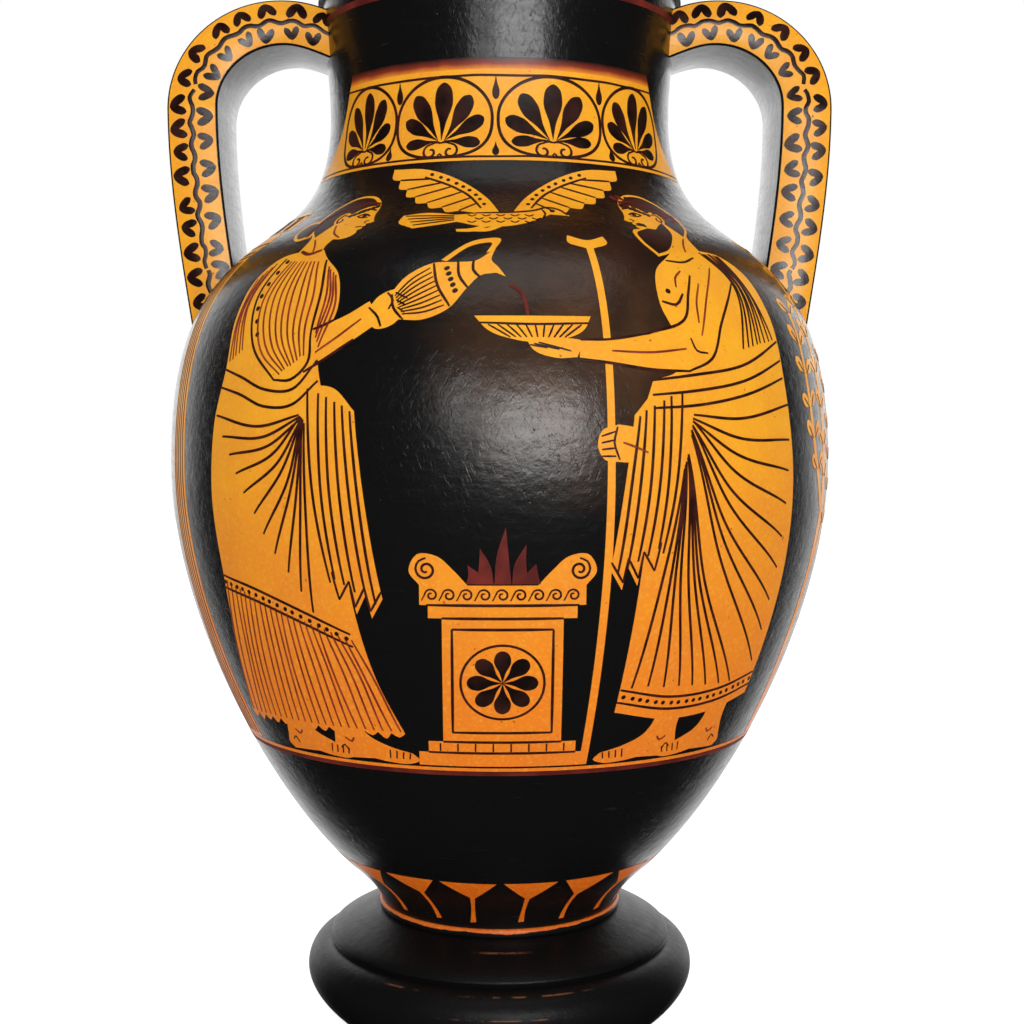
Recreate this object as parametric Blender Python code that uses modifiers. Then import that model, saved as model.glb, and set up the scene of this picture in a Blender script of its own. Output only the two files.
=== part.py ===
"""Red-figure amphora with flanged handles, built from the clay sections that a potter joins.

Metres, +Z up. The origin lies on the floor under the middle of the foot. The front looks to -Y,
and the two handles stand on the X axis.
"""
import math

import bmesh
import bpy
from mathutils import Vector
from mathutils.geometry import interpolate_bezier

# Driving dimensions: the vessel's outline, from the floor up
FOOT_HEIGHT = 0.0426
FOOT_RADIUS = 0.0638
UPPER_DEGREE_DROP = 0.0084
UPPER_DEGREE_SETBACK = 0.0076
GROOVE_DEPTH = 0.0012
GROOVE_WIDTH = 0.0014
LOWER_DEGREE_DROP = 0.0089
RING_SETBACK = 0.0156
RING_HEIGHT = 0.0050
RING_WIDTH = 0.0090
RING_EDGE = 0.0006
STEM_RADIUS = 0.0393
TAPER_SPREAD = 0.0111
TAPER_RISE = 0.0140
LOWER_RISE = 0.1300
BELLY_RADIUS = 0.1065
SHOULDER_RISE = 0.1120
NECK_RADIUS = 0.0550
NECK_RISE = 0.0360
NECK_FLARE = 0.0022
LIP_STEP = 0.0016
LIP_HEIGHT = 0.0245
LIP_FLARE = 0.0118
LIP_EDGE = 0.0028

# Walls, seats and seams
WALL = 0.0055
FLOOR_THICKNESS = 0.0080
CLEARANCE = 0.0003
LAP = 0.0060
NECK_SEAM_DROP = 0.0280
FILLET_HEIGHT = 0.0026
FILLET_WIDTH = 0.0024
FILLET_PROUD = 0.0008
SEAT_LEDGE = 0.0008
SOCKET_RADIUS = 0.0258
SOCKET_DEPTH = 0.0080
TENON_DROP = 0.0050

# Handles
HANDLE_DEPTH = 0.0360
HANDLE_THICKNESS = 0.0160
HANDLE_REACH = 0.0422
HANDLE_LIP_DROP = 0.0010
HANDLE_ROOT_DIP = 0.0052
HANDLE_KNEE_DROP = 0.0270
HANDLE_ARCH_REACH = 0.0135
HANDLE_SEAT_RISE = 0.0480
HANDLE_HOLLOW = 0.0026
HANDLE_CROWN = 0.0010
HANDLE_EDGE = 0.0009
HANDLE_ARCH_SLIMNESS = 0.88

# Shape of the curves, as shares of their own chord
LOWER_FULLNESS = 0.383
TAPER_FULLNESS = 0.240
SHOULDER_FULLNESS = 0.784
NECK_FULLNESS = 0.507
ROUND = 0.5523
UNDERSIDE_FULLNESS = 0.41
TAPER_SLANT = math.radians(47.9)
STEM_SLANT = math.radians(18.0)
UPPER_DEGREE_SLANT = math.radians(20.5)
UNDERSIDE_SLANT = math.radians(35.0)

# Fineness of the solids
TURN_STEPS = 48
LOWER_STEPS = 9
TAPER_STEPS = 3
SHOULDER_STEPS = 9
NECK_STEPS = 4
ROUND_STEPS = 5
HANDLE_STEPS = 7
HOLLOW_STEPS = 4
CROWN_STEPS = 2

# Heights and radii that follow from the sizes above
BODY_BASE = FOOT_HEIGHT + CLEARANCE
WALL_BASE = BODY_BASE + FILLET_HEIGHT
TAPER_HEIGHT = WALL_BASE + TAPER_RISE
BELLY_HEIGHT = TAPER_HEIGHT + LOWER_RISE
WAIST_HEIGHT = BELLY_HEIGHT + SHOULDER_RISE
NECK_SEAM_HEIGHT = WAIST_HEIGHT - NECK_SEAM_DROP
LIP_BASE = WAIST_HEIGHT + NECK_RISE
MOUTH_TOP = LIP_BASE + LIP_HEIGHT
RING_RADIUS = FOOT_RADIUS - RING_SETBACK
TAPER_RADIUS = STEM_RADIUS + TAPER_SPREAD
NECK_TOP_RADIUS = NECK_RADIUS + NECK_FLARE
LIP_RADIUS = NECK_TOP_RADIUS + LIP_FLARE

# Colours read from the photograph
GLOSS_BLACK = (0.012, 0.011, 0.010, 1.0)
CLAY_ORANGE = (0.80, 0.30, 0.03, 1.0)
GLOSS_ROUGHNESS = 0.30
CLAY_ROUGHNESS = 0.45


def curve(start, start_handle, end_handle, end, steps):
    """Points of a cubic curve from start to end, both ends included."""
    knots = [Vector(knot) for knot in (start, start_handle, end_handle, end)]
    return [point.to_2d() for point in interpolate_bezier(*knots, steps + 1)]


def outer_wall():
    """The outside of the vessel's wall from the stem up to the lip, bottom to top, as (radius, height)."""
    taper = Vector((TAPER_RADIUS, TAPER_HEIGHT))
    taper_way = Vector((math.sin(TAPER_SLANT), math.cos(TAPER_SLANT)))
    stem_way = Vector((math.sin(STEM_SLANT), math.cos(STEM_SLANT)))
    stem = Vector((STEM_RADIUS, WALL_BASE))
    stem_pull = (taper - stem).length / 3
    belly = Vector((BELLY_RADIUS, BELLY_HEIGHT))
    waist = Vector((NECK_RADIUS, WAIST_HEIGHT))
    neck_top = Vector((NECK_TOP_RADIUS, LIP_BASE))
    up = Vector((0.0, 1.0))

    wall = curve(stem, stem + stem_pull * stem_way, taper - stem_pull * taper_way, taper, TAPER_STEPS)
    lower_pull = TAPER_FULLNESS * LOWER_RISE * taper_way
    wall += curve(taper, taper + lower_pull, belly - LOWER_FULLNESS * LOWER_RISE * up, belly, LOWER_STEPS)[1:]
    wall += curve(belly, belly + SHOULDER_FULLNESS * SHOULDER_RISE * up,
                  waist - NECK_FULLNESS * SHOULDER_RISE * up, waist, SHOULDER_STEPS)[1:]
    wall += curve(waist, waist + NECK_RISE / 3 * up, neck_top - NECK_RISE / 3 * up, neck_top, NECK_STEPS)[1:]
    return wall


class Wall:
    """The vessel's wall: a point on it is given by its way up along the outside and its depth inside."""

    def __init__(self):
        self.points = outer_wall()
        self.way = [0.0]
        for below, above in zip(self.points, self.points[1:]):
            self.way.append(self.way[-1] + (above - below).length)
        self.inward = []
        for index in range(len(self.points)):
            below = self.points[max(index - 1, 0)]
            above = self.points[min(index + 1, len(self.points) - 1)]
            along = (above - below).normalized()
            self.inward.append(Vector((-along.y, along.x)))

    def at(self, way, depth):
        """The point at a way along the outside and a depth in from it."""
        for index in range(len(self.way) - 1):
            if way <= self.way[index + 1]:
                break
        share = (way - self.way[index]) / (self.way[index + 1] - self.way[index])
        outside = self.points[index].lerp(self.points[index + 1], share)
        return outside + depth * self.inward[index].lerp(self.inward[index + 1], share)

    def way_at_height(self, height):
        """The way along the outside at which a height is reached."""
        for index in range(len(self.points) - 1):
            if height <= self.points[index + 1].y:
                break
        low = self.points[index].y
        share = (height - low) / (self.points[index + 1].y - low)
        return self.way[index] + share * (self.way[index + 1] - self.way[index])

    def stretch(self, start, end, depth):
        """Points at one depth between two ways, bottom to top, with those of the outline between them."""
        spare = (end - start) / 20
        between = [way for way in self.way if start + spare < way < end - spare]
        return [self.at(way, depth) for way in [start] + between + [end]]


def section(wall, start, end, lap_below, lap_above):
    """Outline of one thrown section between two ways, top to bottom outside and back up inside.

    Where two sections meet, the lower one has a tongue on its inner half and the upper one a skirt
    on its outer half, a clearance apart.
    """
    half = WALL / 2
    tongue = half + CLEARANCE / 2
    skirt = half - CLEARANCE / 2
    outside = wall.stretch(start + CLEARANCE if lap_below else start, end, 0.0)
    outline = list(reversed(outside))
    inner_start = start
    if lap_below:
        inner_start = start + LAP + CLEARANCE
        outline += [wall.at(start + CLEARANCE, skirt), wall.at(inner_start, skirt)]
    inner_end = end + LAP if lap_above else end
    outline += wall.stretch(inner_start, inner_end, WALL)
    if lap_above:
        outline += [wall.at(inner_end, tongue), wall.at(end, tongue)]
    return outline


def new_object(name, mesh, collection):
    piece = bpy.data.objects.new(name, mesh)
    collection.objects.link(piece)
    return piece


def material(piece, colour, roughness):
    """A material of the piece's own."""
    finish = bpy.data.materials.new(piece.name)
    finish.use_nodes = True
    shader = finish.node_tree.nodes["Principled BSDF"]
    shader.inputs["Base Color"].default_value = colour
    shader.inputs["Roughness"].default_value = roughness
    shader.inputs["Metallic"].default_value = 0.0
    finish.diffuse_color = colour
    piece.data.materials.append(finish)


def turned(name, outline, collection, closed=True):
    """A turned piece: the outline at +X, down its outer side, swept once round by a Screw modifier."""
    mesh = bpy.data.meshes.new(name)
    shape = bmesh.new()
    corners = [shape.verts.new((point[0], 0.0, point[1])) for point in outline]
    for first, second in zip(corners, corners[1:]):
        shape.edges.new((first, second))
    if closed:
        shape.edges.new((corners[-1], corners[0]))
    shape.to_mesh(mesh)
    shape.free()
    piece = new_object(name, mesh, collection)
    sweep = piece.modifiers.new("turn", "SCREW")
    sweep.axis = "Z"
    sweep.angle = math.tau
    sweep.steps = TURN_STEPS
    sweep.render_steps = TURN_STEPS
    sweep.use_merge_vertices = True
    sweep.merge_threshold = 0.00001
    sweep.use_smooth_shade = True
    return piece


def foot_outline():
    """Two rounded degrees with a groove between them, a resting ring, and a hollow below the socket."""
    seat_edge = STEM_RADIUS + FILLET_PROUD + SEAT_LEDGE
    upper_radius = FOOT_RADIUS - UPPER_DEGREE_SETBACK
    upper_height = FOOT_HEIGHT - UPPER_DEGREE_DROP
    upper_pull = ROUND * (upper_radius - seat_edge)
    upper_fall = Vector((math.cos(UPPER_DEGREE_SLANT), -math.sin(UPPER_DEGREE_SLANT)))
    seat = Vector((seat_edge, FOOT_HEIGHT))
    outline = [(SOCKET_RADIUS, FOOT_HEIGHT)]
    outline += curve(seat, seat + upper_pull * upper_fall,
                     (upper_radius, upper_height + ROUND * UPPER_DEGREE_DROP / 2),
                     (upper_radius, upper_height), ROUND_STEPS)

    lower_top = upper_height - GROOVE_WIDTH
    outline += [(upper_radius - GROOVE_DEPTH, upper_height - GROOVE_WIDTH / 2)]
    widest = Vector((FOOT_RADIUS, lower_top - LOWER_DEGREE_DROP))
    outline += curve((upper_radius, lower_top), (upper_radius + ROUND * UPPER_DEGREE_SETBACK, lower_top),
                     widest + Vector((0.0, ROUND * LOWER_DEGREE_DROP)), widest, ROUND_STEPS - 1)

    ring = Vector((RING_RADIUS, RING_HEIGHT))
    ring_pull = UNDERSIDE_FULLNESS * RING_SETBACK
    ring_way = Vector((math.cos(UNDERSIDE_SLANT), math.sin(UNDERSIDE_SLANT)))
    outline += curve(widest, widest - Vector((0.0, UNDERSIDE_FULLNESS * (widest.y - RING_HEIGHT))),
                     ring + ring_pull * ring_way, ring, ROUND_STEPS)[1:]
    outline += [(RING_RADIUS, RING_EDGE), (RING_RADIUS - RING_EDGE, 0.0)]

    hollow_base = RING_RADIUS - RING_WIDTH
    hollow_top = FOOT_HEIGHT - SOCKET_DEPTH
    outline += curve((hollow_base, 0.0), (hollow_base, ROUND * hollow_top),
                     (SOCKET_RADIUS + ROUND * (hollow_base - SOCKET_RADIUS), hollow_top),
                     (SOCKET_RADIUS, hollow_top), ROUND_STEPS - 1)
    return outline


def fillet_outline():
    """A ring with a rounded outside, between the foot's top seat and the rebate of the body."""
    inner = STEM_RADIUS - FILLET_WIDTH + CLEARANCE
    outer = STEM_RADIUS + FILLET_PROUD
    low = FOOT_HEIGHT + CLEARANCE
    high = WALL_BASE - CLEARANCE
    middle = (low + high) / 2
    bulge = (high - low) / 2
    start = outer - bulge / 2
    upper = curve((start, high), (start + ROUND * bulge / 2, high), (outer, middle + ROUND * bulge),
                  (outer, middle), ROUND_STEPS - 2)
    lower = [(point.x, 2 * middle - point.y) for point in reversed(upper[:-1])]
    return upper + lower + [(inner, low), (inner, high)]


def lower_body_outline(wall):
    """The bowl: inner floor out to the wall, over the tongue, down the outside, in to the tenon."""
    belly = wall.way_at_height(BELLY_HEIGHT)
    floor = BODY_BASE + FLOOR_THICKNESS
    thrown = section(wall, 0.0, belly, False, True)
    outside = wall.stretch(0.0, belly, 0.0)
    rest = thrown[len(outside):]
    inside = [point for point in rest if point.y > floor + WALL / 4]
    floor_way = wall.way_at_height(floor)
    floor_radius = wall.at(floor_way, WALL).x - WALL / 4
    rebate = STEM_RADIUS - FILLET_WIDTH
    tenon = SOCKET_RADIUS - CLEARANCE
    outline = [(0.0, floor), (floor_radius, floor)] + inside
    outline += list(reversed(outside))
    outline += [(rebate, WALL_BASE), (rebate, BODY_BASE), (tenon, BODY_BASE)]
    outline += [(tenon, BODY_BASE - TENON_DROP), (0.0, BODY_BASE - TENON_DROP)]
    return outline


def mouth_outline():
    """The lip: a flaring, slightly hollow outside, a round edge, and a socket for the neck's tongue."""
    bottom = (NECK_TOP_RADIUS + LIP_STEP, LIP_BASE + CLEARANCE)
    edge_height = MOUTH_TOP - LIP_EDGE
    flare = curve((LIP_RADIUS, edge_height), (LIP_RADIUS - LIP_EDGE, edge_height - LIP_HEIGHT / 4),
                  (bottom[0], bottom[1] + LIP_HEIGHT / 3), bottom, ROUND_STEPS)
    top = curve((LIP_RADIUS - LIP_EDGE, MOUTH_TOP), (LIP_RADIUS - LIP_EDGE * (1 - ROUND), MOUTH_TOP),
                (LIP_RADIUS, MOUTH_TOP - LIP_EDGE * (1 - ROUND)), (LIP_RADIUS, edge_height), 3)
    skirt = NECK_TOP_RADIUS - WALL / 2 + CLEARANCE / 2
    bore = NECK_TOP_RADIUS - WALL
    step = LIP_BASE + LAP + CLEARANCE
    inner_edge = LIP_RADIUS - WALL - LIP_EDGE
    inside = curve((bore, step), (bore, step + LIP_HEIGHT / 4),
                   (inner_edge - LIP_EDGE, edge_height - LIP_HEIGHT / 4),
                   (inner_edge, MOUTH_TOP - LIP_EDGE / 2), ROUND_STEPS - 1)
    return (top + flare[1:] + [(skirt, bottom[1]), (skirt, step)] + inside
            + [(inner_edge + LIP_EDGE / 2, MOUTH_TOP)])


def handle_section(name, collection):
    """Cross-section of a flanged strap: hollow outside, slightly crowned inside, as a closed guide curve."""
    half_depth = HANDLE_DEPTH / 2
    half_thickness = HANDLE_THICKNESS / 2
    across = (half_depth - HANDLE_EDGE) * 2
    points = []
    for step in range(HOLLOW_STEPS + 1):
        share = step / HOLLOW_STEPS
        hollow = HANDLE_HOLLOW * math.sin(math.pi * share)
        points.append((half_thickness - hollow, across * (share - 0.5)))
    points.append((half_thickness - HANDLE_EDGE, half_depth))
    points.append((HANDLE_EDGE - half_thickness, half_depth))
    for step in range(CROWN_STEPS + 1):
        share = step / CROWN_STEPS
        crown = HANDLE_CROWN * math.sin(math.pi * share)
        points.append((-half_thickness - crown, across * (0.5 - share)))
    points.append((HANDLE_EDGE - half_thickness, -half_depth))
    points.append((half_thickness - HANDLE_EDGE, -half_depth))
    outline = bpy.data.curves.new(name, "CURVE")
    outline.dimensions = "2D"
    spline = outline.splines.new("POLY")
    spline.points.add(len(points) - 1)
    for target, point in zip(spline.points, points):
        target.co = (point[0], point[1], 0.0, 1.0)
    spline.use_cyclic_u = True
    guide = new_object(name, outline, collection)
    guide.hide_render = True
    guide.display_type = "WIRE"
    return guide


def handle_path(name, wall, guide, collection):
    """The strap's middle line, from inside the neck over the arch and down into the shoulder."""
    seat_way = wall.way_at_height(BELLY_HEIGHT + HANDLE_SEAT_RISE)
    seat = wall.at(seat_way, 0.0)
    upright = NECK_RADIUS + HANDLE_REACH
    arch_height = LIP_BASE - HANDLE_LIP_DROP - HANDLE_ARCH_SLIMNESS * HANDLE_THICKNESS / 2
    arch = Vector((NECK_RADIUS + HANDLE_ARCH_REACH, arch_height))
    knee = Vector((upright, arch_height - HANDLE_KNEE_DROP))
    root = Vector((NECK_RADIUS - WALL, arch_height - HANDLE_ROOT_DIP))
    inner_seat = seat - Vector((HANDLE_THICKNESS / 2, 0.0))
    fall = (inner_seat - knee).normalized()
    end = inner_seat + 2 * HANDLE_THICKNESS * fall
    root_pull = Vector((HANDLE_ARCH_REACH / 2, HANDLE_ROOT_DIP / 2))
    arch_pull = Vector((HANDLE_ARCH_REACH / 2, 0.0))
    bend_pull = ROUND * (knee.x - arch.x)
    knee_pull = ROUND * (arch.y - knee.y)
    fall_pull = (end - knee).length / 3
    nodes = [
        (root, root - root_pull, root + root_pull),
        (arch, arch - arch_pull, arch + Vector((bend_pull, 0.0))),
        (knee, knee + Vector((0.0, knee_pull)), knee - Vector((0.0, fall_pull))),
        (end, end - fall_pull * fall, end + fall_pull * fall),
    ]
    path = bpy.data.curves.new(name, "CURVE")
    path.dimensions = "2D"
    path.resolution_u = HANDLE_STEPS
    path.bevel_mode = "OBJECT"
    path.bevel_object = guide
    path.use_fill_caps = True
    spline = path.splines.new("BEZIER")
    spline.bezier_points.add(len(nodes) - 1)
    for target, (place, before, after) in zip(spline.bezier_points, nodes):
        target.co = place.to_3d()
        target.handle_left = before.to_3d()
        target.handle_right = after.to_3d()
        target.radius = 1.0
    spline.bezier_points[0].radius = HANDLE_ARCH_SLIMNESS
    spline.bezier_points[1].radius = HANDLE_ARCH_SLIMNESS
    rail = new_object(name, path, collection)
    rail.rotation_euler = (math.pi / 2, 0.0, 0.0)
    return rail


def as_mesh(rail):
    """The swept strap as a closed mesh in world space."""
    bpy.context.view_layer.update()
    evaluated = rail.evaluated_get(bpy.context.evaluated_depsgraph_get())
    mesh = bpy.data.meshes.new_from_object(evaluated)
    mesh.transform(rail.matrix_world)
    shape = bmesh.new()
    shape.from_mesh(mesh)
    bmesh.ops.remove_doubles(shape, verts=shape.verts, dist=0.00001)
    bmesh.ops.recalc_face_normals(shape, faces=shape.faces)
    shape.to_mesh(mesh)
    shape.free()
    return mesh


def plug_outline(wall):
    """The whole vessel as one solid, a clearance larger, to cut the handles' seats to the wall."""
    outside = [wall.at(way, -CLEARANCE) for way in wall.way]
    outside[-1].y = LIP_BASE - CLEARANCE
    lip = [point + Vector((CLEARANCE, 0.0)) for point in map(Vector, mouth_outline()[3:ROUND_STEPS + 4])]
    lip[-1].y = LIP_BASE - CLEARANCE
    top = [(0.0, MOUTH_TOP)]
    return top + [(lip[0].x, MOUTH_TOP)] + lip + list(reversed(outside)) + [(0.0, WALL_BASE)]


def handles(wall, parts, cutters):
    """Two flanged straps cut to the neck and the shoulder, one the half turn of the other."""
    guide = handle_section("handle_section", cutters)
    rail = handle_path("handle_rail", wall, guide, cutters)
    mesh = as_mesh(rail)
    bpy.data.objects.remove(rail)
    plug = turned("wall_plug", plug_outline(wall), cutters, closed=False)
    plug.hide_render = True
    plug.display_type = "WIRE"
    made = []
    for name, turn in (("right_handle", 0.0), ("left_handle", math.pi)):
        strap = new_object(name, mesh.copy(), parts)
        strap.rotation_euler = (0.0, 0.0, turn)
        seat = strap.modifiers.new("seat", "BOOLEAN")
        seat.operation = "DIFFERENCE"
        seat.solver = "EXACT"
        seat.object = plug
        strap.data.shade_smooth()
        strap.data.set_sharp_from_angle(angle=math.radians(35))
        made.append(strap)
    return made


def main():
    for old in list(bpy.data.objects):
        bpy.data.objects.remove(old)
    parts = bpy.data.collections.new("red_figure_amphora")
    cutters = bpy.data.collections.new("cutters")
    for collection in (parts, cutters):
        bpy.context.scene.collection.children.link(collection)

    wall = Wall()
    belly = wall.way_at_height(BELLY_HEIGHT)
    neck_seam = wall.way_at_height(NECK_SEAM_HEIGHT)
    neck_top = wall.way[-1]
    neck_outline = section(wall, neck_seam, neck_top, True, False)
    tongue = NECK_TOP_RADIUS - WALL / 2 - CLEARANCE / 2
    neck_outline += [(NECK_TOP_RADIUS - WALL, LIP_BASE + LAP), (tongue, LIP_BASE + LAP), (tongue, LIP_BASE)]

    glossy = [
        turned("foot", foot_outline(), parts),
        turned("lower_body", lower_body_outline(wall), parts, closed=False),
        turned("shoulder", section(wall, belly, neck_seam, True, True), parts),
        turned("neck", neck_outline, parts),
        turned("mouth", mouth_outline(), parts),
    ]
    reserved = [turned("foot_fillet", fillet_outline(), parts)] + handles(wall, parts, cutters)
    for piece in glossy:
        material(piece, GLOSS_BLACK, GLOSS_ROUGHNESS)
    for piece in reserved:
        material(piece, CLAY_ORANGE, CLAY_ROUGHNESS)


main()
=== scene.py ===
"""Looks of the red-figure amphora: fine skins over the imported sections, with the paint in thin films."""
import bisect
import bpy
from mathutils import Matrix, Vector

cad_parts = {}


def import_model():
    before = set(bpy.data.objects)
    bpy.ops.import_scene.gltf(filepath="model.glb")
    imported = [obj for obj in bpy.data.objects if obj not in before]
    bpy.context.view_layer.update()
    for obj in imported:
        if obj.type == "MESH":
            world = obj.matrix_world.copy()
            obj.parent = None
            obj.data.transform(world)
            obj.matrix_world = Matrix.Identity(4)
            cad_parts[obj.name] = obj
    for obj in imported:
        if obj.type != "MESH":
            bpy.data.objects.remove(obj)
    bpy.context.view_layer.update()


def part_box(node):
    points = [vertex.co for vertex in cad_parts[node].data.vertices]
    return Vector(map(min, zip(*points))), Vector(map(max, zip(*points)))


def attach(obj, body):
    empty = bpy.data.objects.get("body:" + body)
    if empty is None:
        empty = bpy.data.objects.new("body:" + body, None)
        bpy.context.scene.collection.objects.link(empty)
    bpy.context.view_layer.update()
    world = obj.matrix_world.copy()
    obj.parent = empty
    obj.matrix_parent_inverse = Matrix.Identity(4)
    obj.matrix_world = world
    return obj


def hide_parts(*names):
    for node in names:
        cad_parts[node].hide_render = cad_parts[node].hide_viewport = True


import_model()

import copy
import math
import random

import bmesh
import bpy
from mathutils import Vector
from mathutils.geometry import delaunay_2d_cdt, interpolate_bezier

MM = 0.001

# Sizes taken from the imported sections
_, foot_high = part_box("foot")
body_low, body_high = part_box("lower_body")
_, mouth_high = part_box("mouth")
FOOT_RADIUS = foot_high.x
FOOT_HEIGHT = foot_high.z
BELLY_RADIUS = body_high.x
LIP_RADIUS = mouth_high.x
MOUTH_TOP = mouth_high.z

# Sizes of the vessel's outline, as its sections are turned
WALL = 0.0055
SEAM = 0.0003
FILLET_HEIGHT = 0.0026
FILLET_PROUD = 0.0008
STEM_RADIUS = 0.0393
TAPER_SPREAD = 0.0111
TAPER_RISE = 0.0140
LOWER_RISE = 0.1300
SHOULDER_RISE = 0.1120
NECK_RADIUS = 0.0550
NECK_RISE = 0.0360
NECK_FLARE = 0.0022
NECK_SEAM_DROP = 0.0280
FLOOR_THICKNESS = 0.0080
TAPER_SLANT = math.radians(47.9)
STEM_SLANT = math.radians(18.0)
TAPER_FULLNESS = 0.240
LOWER_FULLNESS = 0.383
SHOULDER_FULLNESS = 0.784
NECK_FULLNESS = 0.507
ROUND = 0.5523

# Sizes of the foot
UPPER_SETBACK = 0.0076
UPPER_DROP = 0.0084
UPPER_SLANT = math.radians(20.5)
GROOVE_DEPTH = 0.0012
GROOVE_WIDTH = 0.0014
LOWER_DROP = 0.0089
UNDER_FULLNESS = 0.41
UNDER_SLANT = math.radians(35.0)
RING_SETBACK = 0.0156
RING_HEIGHT = 0.0050
RING_WIDTH = 0.0090
RING_EDGE = 0.0006
SOCKET_DEPTH = 0.0080
SOCKET_RADIUS = 0.0258
TENON_RADIUS = 0.0255
STEM_BORE = 0.0024
SEAT_MARGIN = 0.0008
CLAY_MARGIN = 0.0005

# Sizes of the lip
LIP_STEP = 0.0016
LIP_EDGE = 0.0028

# Places that follow from these sizes
RING_RADIUS = FOOT_RADIUS - RING_SETBACK
WALL_BASE = FOOT_HEIGHT + SEAM + FILLET_HEIGHT
TAPER_HEIGHT = WALL_BASE + TAPER_RISE
BELLY_HEIGHT = TAPER_HEIGHT + LOWER_RISE
WAIST_HEIGHT = BELLY_HEIGHT + SHOULDER_RISE
LIP_BASE = WAIST_HEIGHT + NECK_RISE
NECK_TOP_RADIUS = NECK_RADIUS + NECK_FLARE
FLOOR_HEIGHT = FOOT_HEIGHT + SEAM + FLOOR_THICKNESS

# Sizes of the handles
HANDLE_DEPTH = 0.0360
HANDLE_THICKNESS = 0.0160
HANDLE_REACH = 0.0422
HANDLE_LIP_DROP = 0.0010
HANDLE_ROOT_DIP = 0.0052
HANDLE_KNEE_DROP = 0.0270
HANDLE_ARCH_REACH = 0.0135
HANDLE_SEAT_RISE = 0.0480
HANDLE_HOLLOW = 0.0026
HANDLE_CROWN = 0.0010
HANDLE_EDGE = 0.0009
HANDLE_SUNK = 0.0015
HANDLE_ARCH_SLIMNESS = 0.88
FLANGE_CROWN = 0.0010
FLANGE_MARGIN = 0.0007

# Heights of the painted bands
PANEL_TOP = 0.3058
PANEL_BOTTOM = 0.2787
BLUSH_TOP = PANEL_TOP + 0.0034
GROUND_HEIGHT = 0.1052
GROUND_LINE = (GROUND_HEIGHT - 0.0004, GROUND_HEIGHT + 0.0006)
RED_UNDERLINE = (GROUND_HEIGHT - 0.0018, GROUND_HEIGHT - 0.0006)
LIP_LINE = (0.3285, 0.3305)
RAY_TOP = 0.0646

# Thickness of the paint, above the clay wall
FILM = 0.00008
BLUSH_FILM = 0.00006
OVER_FILM = 0.00015
DOT_FILM = 0.00018
RIDGE = 0.00021
ROOTED = -0.00005

# Fineness of the skins, and the angles in degrees from which their edges show
TURN_STEPS = 256
CURVE_STEPS = 60
STRAP_STEPS = 110
BAND_STEPS = 180
STAGE_STEPS = 96
OUTSIDE_STEP = 0.0016
INSIDE_STEP = 0.0040
TURNED_CREASE = 30.0
STRAP_CREASE = 40.0
PAINT_CREASE = 50.0

hand = random.Random(7)


# Curves and surfaces

def curve(start, start_handle, end_handle, end, steps):
    """Points of a cubic curve from start to end, both ends included."""
    knots = [Vector(knot) for knot in (start, start_handle, end_handle, end)]
    return [point.to_2d() for point in interpolate_bezier(*knots, steps + 1)]


def ways_along(points):
    """The way along a line from its first point to each of its points."""
    ways = [0.0]
    for first, second in zip(points, points[1:]):
        ways.append(ways[-1] + (second - first).length)
    return ways


def spot_on(marks, value):
    """The stretch of a rising list of marks that a value falls in, and its share of that stretch."""
    index = min(max(bisect.bisect_right(marks, value) - 1, 0), len(marks) - 2)
    return index, (value - marks[index]) / (marks[index + 1] - marks[index])


def around(radius, turn, height):
    """A point turned about the vessel's axis, from the front towards the right."""
    return Vector((radius * math.sin(turn), -radius * math.cos(turn), height))


class Wall:
    """The outside of the vessel's wall, from the stem up to the lip, measured by the way along it."""

    def __init__(self):
        stem = Vector((STEM_RADIUS, WALL_BASE))
        taper = Vector((STEM_RADIUS + TAPER_SPREAD, TAPER_HEIGHT))
        belly = Vector((BELLY_RADIUS, BELLY_HEIGHT))
        waist = Vector((NECK_RADIUS, WAIST_HEIGHT))
        top = Vector((NECK_TOP_RADIUS, LIP_BASE))
        stem_way = Vector((math.sin(STEM_SLANT), math.cos(STEM_SLANT)))
        taper_way = Vector((math.sin(TAPER_SLANT), math.cos(TAPER_SLANT)))
        up = Vector((0.0, 1.0))
        pull = (taper - stem).length / 3
        lower_pull = TAPER_FULLNESS * LOWER_RISE * taper_way
        points = curve(stem, stem + pull * stem_way, taper - pull * taper_way, taper, CURVE_STEPS)
        points += curve(taper, taper + lower_pull, belly - LOWER_FULLNESS * LOWER_RISE * up, belly,
                        3 * CURVE_STEPS)[1:]
        points += curve(belly, belly + SHOULDER_FULLNESS * SHOULDER_RISE * up,
                        waist - NECK_FULLNESS * SHOULDER_RISE * up, waist, 3 * CURVE_STEPS)[1:]
        points += curve(waist, waist + NECK_RISE / 3 * up, top - NECK_RISE / 3 * up, top, CURVE_STEPS)[1:]
        self.points = points
        self.heights = [point.y for point in points]
        self.ways = ways_along(points)

    def at(self, way, lift=0.0):
        """Radius and height at a way along the wall, lifted off it by a little."""
        index, share = spot_on(self.ways, way)
        below, above = self.points[index], self.points[index + 1]
        along = (above - below).normalized()
        return below.lerp(above, share) + lift * Vector((along.y, -along.x))

    def way_at(self, height):
        index, share = spot_on(self.heights, height)
        return self.ways[index] + share * (self.ways[index + 1] - self.ways[index])

    def rise(self, low, high):
        """The way up the wall between two heights, in millimetres."""
        return (self.way_at(high) - self.way_at(low)) / MM

    def radius(self, height):
        return self.at(self.way_at(height)).x

    def stretch(self, low, high, depth, step):
        """Points between two heights at one depth under the outside, bottom to top.

        The first and last steps are short, so that the shading runs on smoothly over a seam."""
        start, end = self.way_at(low), self.way_at(high)
        count = max(int((end - start) / step), 2)
        ways = [start + (end - start) * index / count for index in range(count + 1)]
        ways[1:1] = [start + SEAM]
        ways[-1:-1] = [end - SEAM]
        return [self.at(way, -depth) for way in ways]


wall = Wall()


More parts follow.
